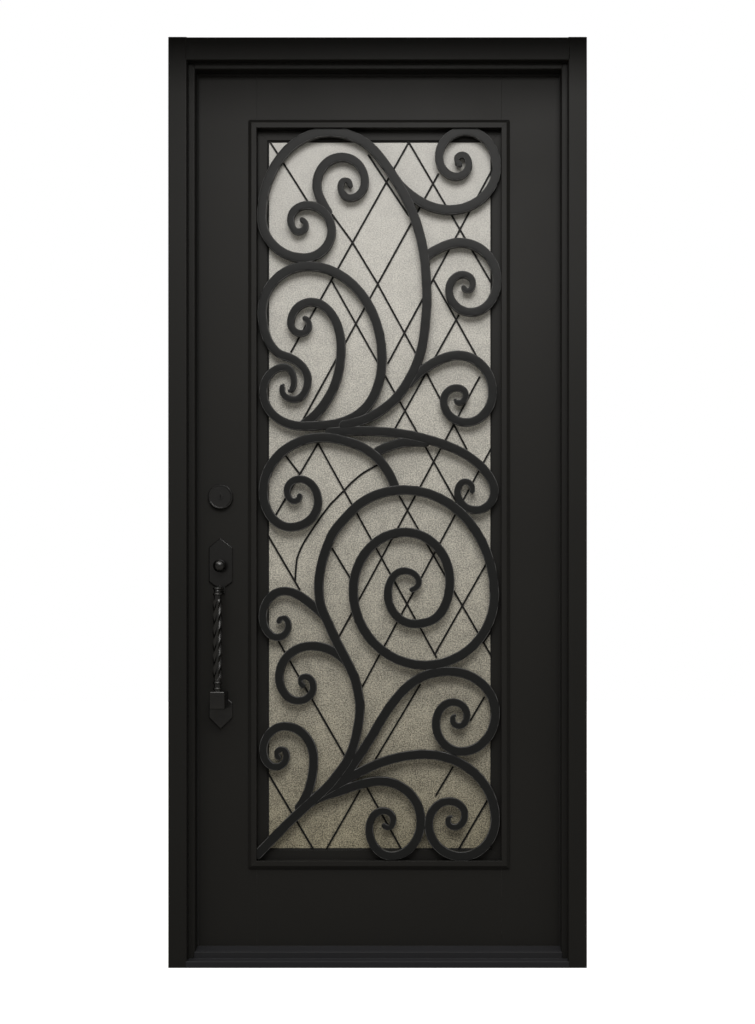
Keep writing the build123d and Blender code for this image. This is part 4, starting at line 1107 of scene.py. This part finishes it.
def shifted_camera(studio):
    """A level camera, its picture shifted so that the door stands upright as in the photo."""
    metres_a_pixel = (CAD_BOX[1][0] - CAD_BOX[0][0]) / OUTLINE_WIDTH
    span = PHOTO_HEIGHT * metres_a_pixel
    centre_z = (OUTLINE_FOOT - PHOTO_HEIGHT / 2) * metres_a_pixel
    camera = bpy.data.cameras.new("camera")
    camera.sensor_fit = "VERTICAL"
    camera.angle = 2 * atan(span / 2 / studio.distance)
    camera.shift_x = -studio.camera_x / span
    camera.shift_y = (centre_z - studio.camera_z) / span
    made = bpy.data.objects.new("camera", camera)
    made.location = (studio.camera_x, FACE_Y - studio.distance, studio.camera_z)
    made.rotation_euler = (pi / 2, 0, 0)
    bpy.context.scene.collection.objects.link(made)
    bpy.context.scene.camera = made


class DOOR_OT_studio(bpy.types.Operator):
    """Make the floor, the light and the camera."""
    bl_idname = "door.studio"
    bl_label = "Studio"

    def execute(self, context):
        studio = context.scene.door_studio
        pale_floor()
        graded_sky(studio)
        key_lamp(studio.key)
        dark_flag(studio.flag_reach)
        shifted_camera(studio)
        context.scene.view_settings.view_transform = "Standard"
        return {"FINISHED"}


STEPS = (DOOR_OT_finishes, DOOR_OT_frame, DOOR_OT_leaf, DOOR_OT_ironwork, DOOR_OT_handle,
         DOOR_OT_studio)
GROUPS = (("door_finish", DoorFinish), ("door_glass", DoorGlass),
          ("door_ironwork", DoorIronwork), ("door_grip", DoorGrip),
          ("door_studio", DoorStudio))


class DOOR_PT_panel(bpy.types.Panel):
    """Steps and sizes of the door."""
    bl_idname = "DOOR_PT_panel"
    bl_label = "Iron Entry Door"
    bl_space_type = "VIEW_3D"
    bl_region_type = "UI"
    bl_category = "Door"

    def draw(self, context):
        for name, kind in GROUPS:
            box = self.layout.box()
            for prop in kind.__annotations__:
                box.prop(getattr(context.scene, name), prop)
        for step in STEPS:
            self.layout.operator(step.bl_idname)


def register():
    for name, kind in GROUPS:
        bpy.utils.register_class(kind)
        setattr(bpy.types.Scene, name, PointerProperty(type=kind))
    for kind in (*STEPS, DOOR_PT_panel):
        bpy.utils.register_class(kind)


def unregister():
    for kind in (DOOR_PT_panel, *reversed(STEPS)):
        bpy.utils.unregister_class(kind)
    for name, kind in reversed(GROUPS):
        delattr(bpy.types.Scene, name)
        bpy.utils.unregister_class(kind)


def main():
    """Register the add-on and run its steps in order."""
    register()
    for step in STEPS:
        area, operator = step.bl_idname.split(".")
        getattr(getattr(bpy.ops, area), operator)()
    bpy.context.view_layer.update()


if __name__ == "__main__":
    main()
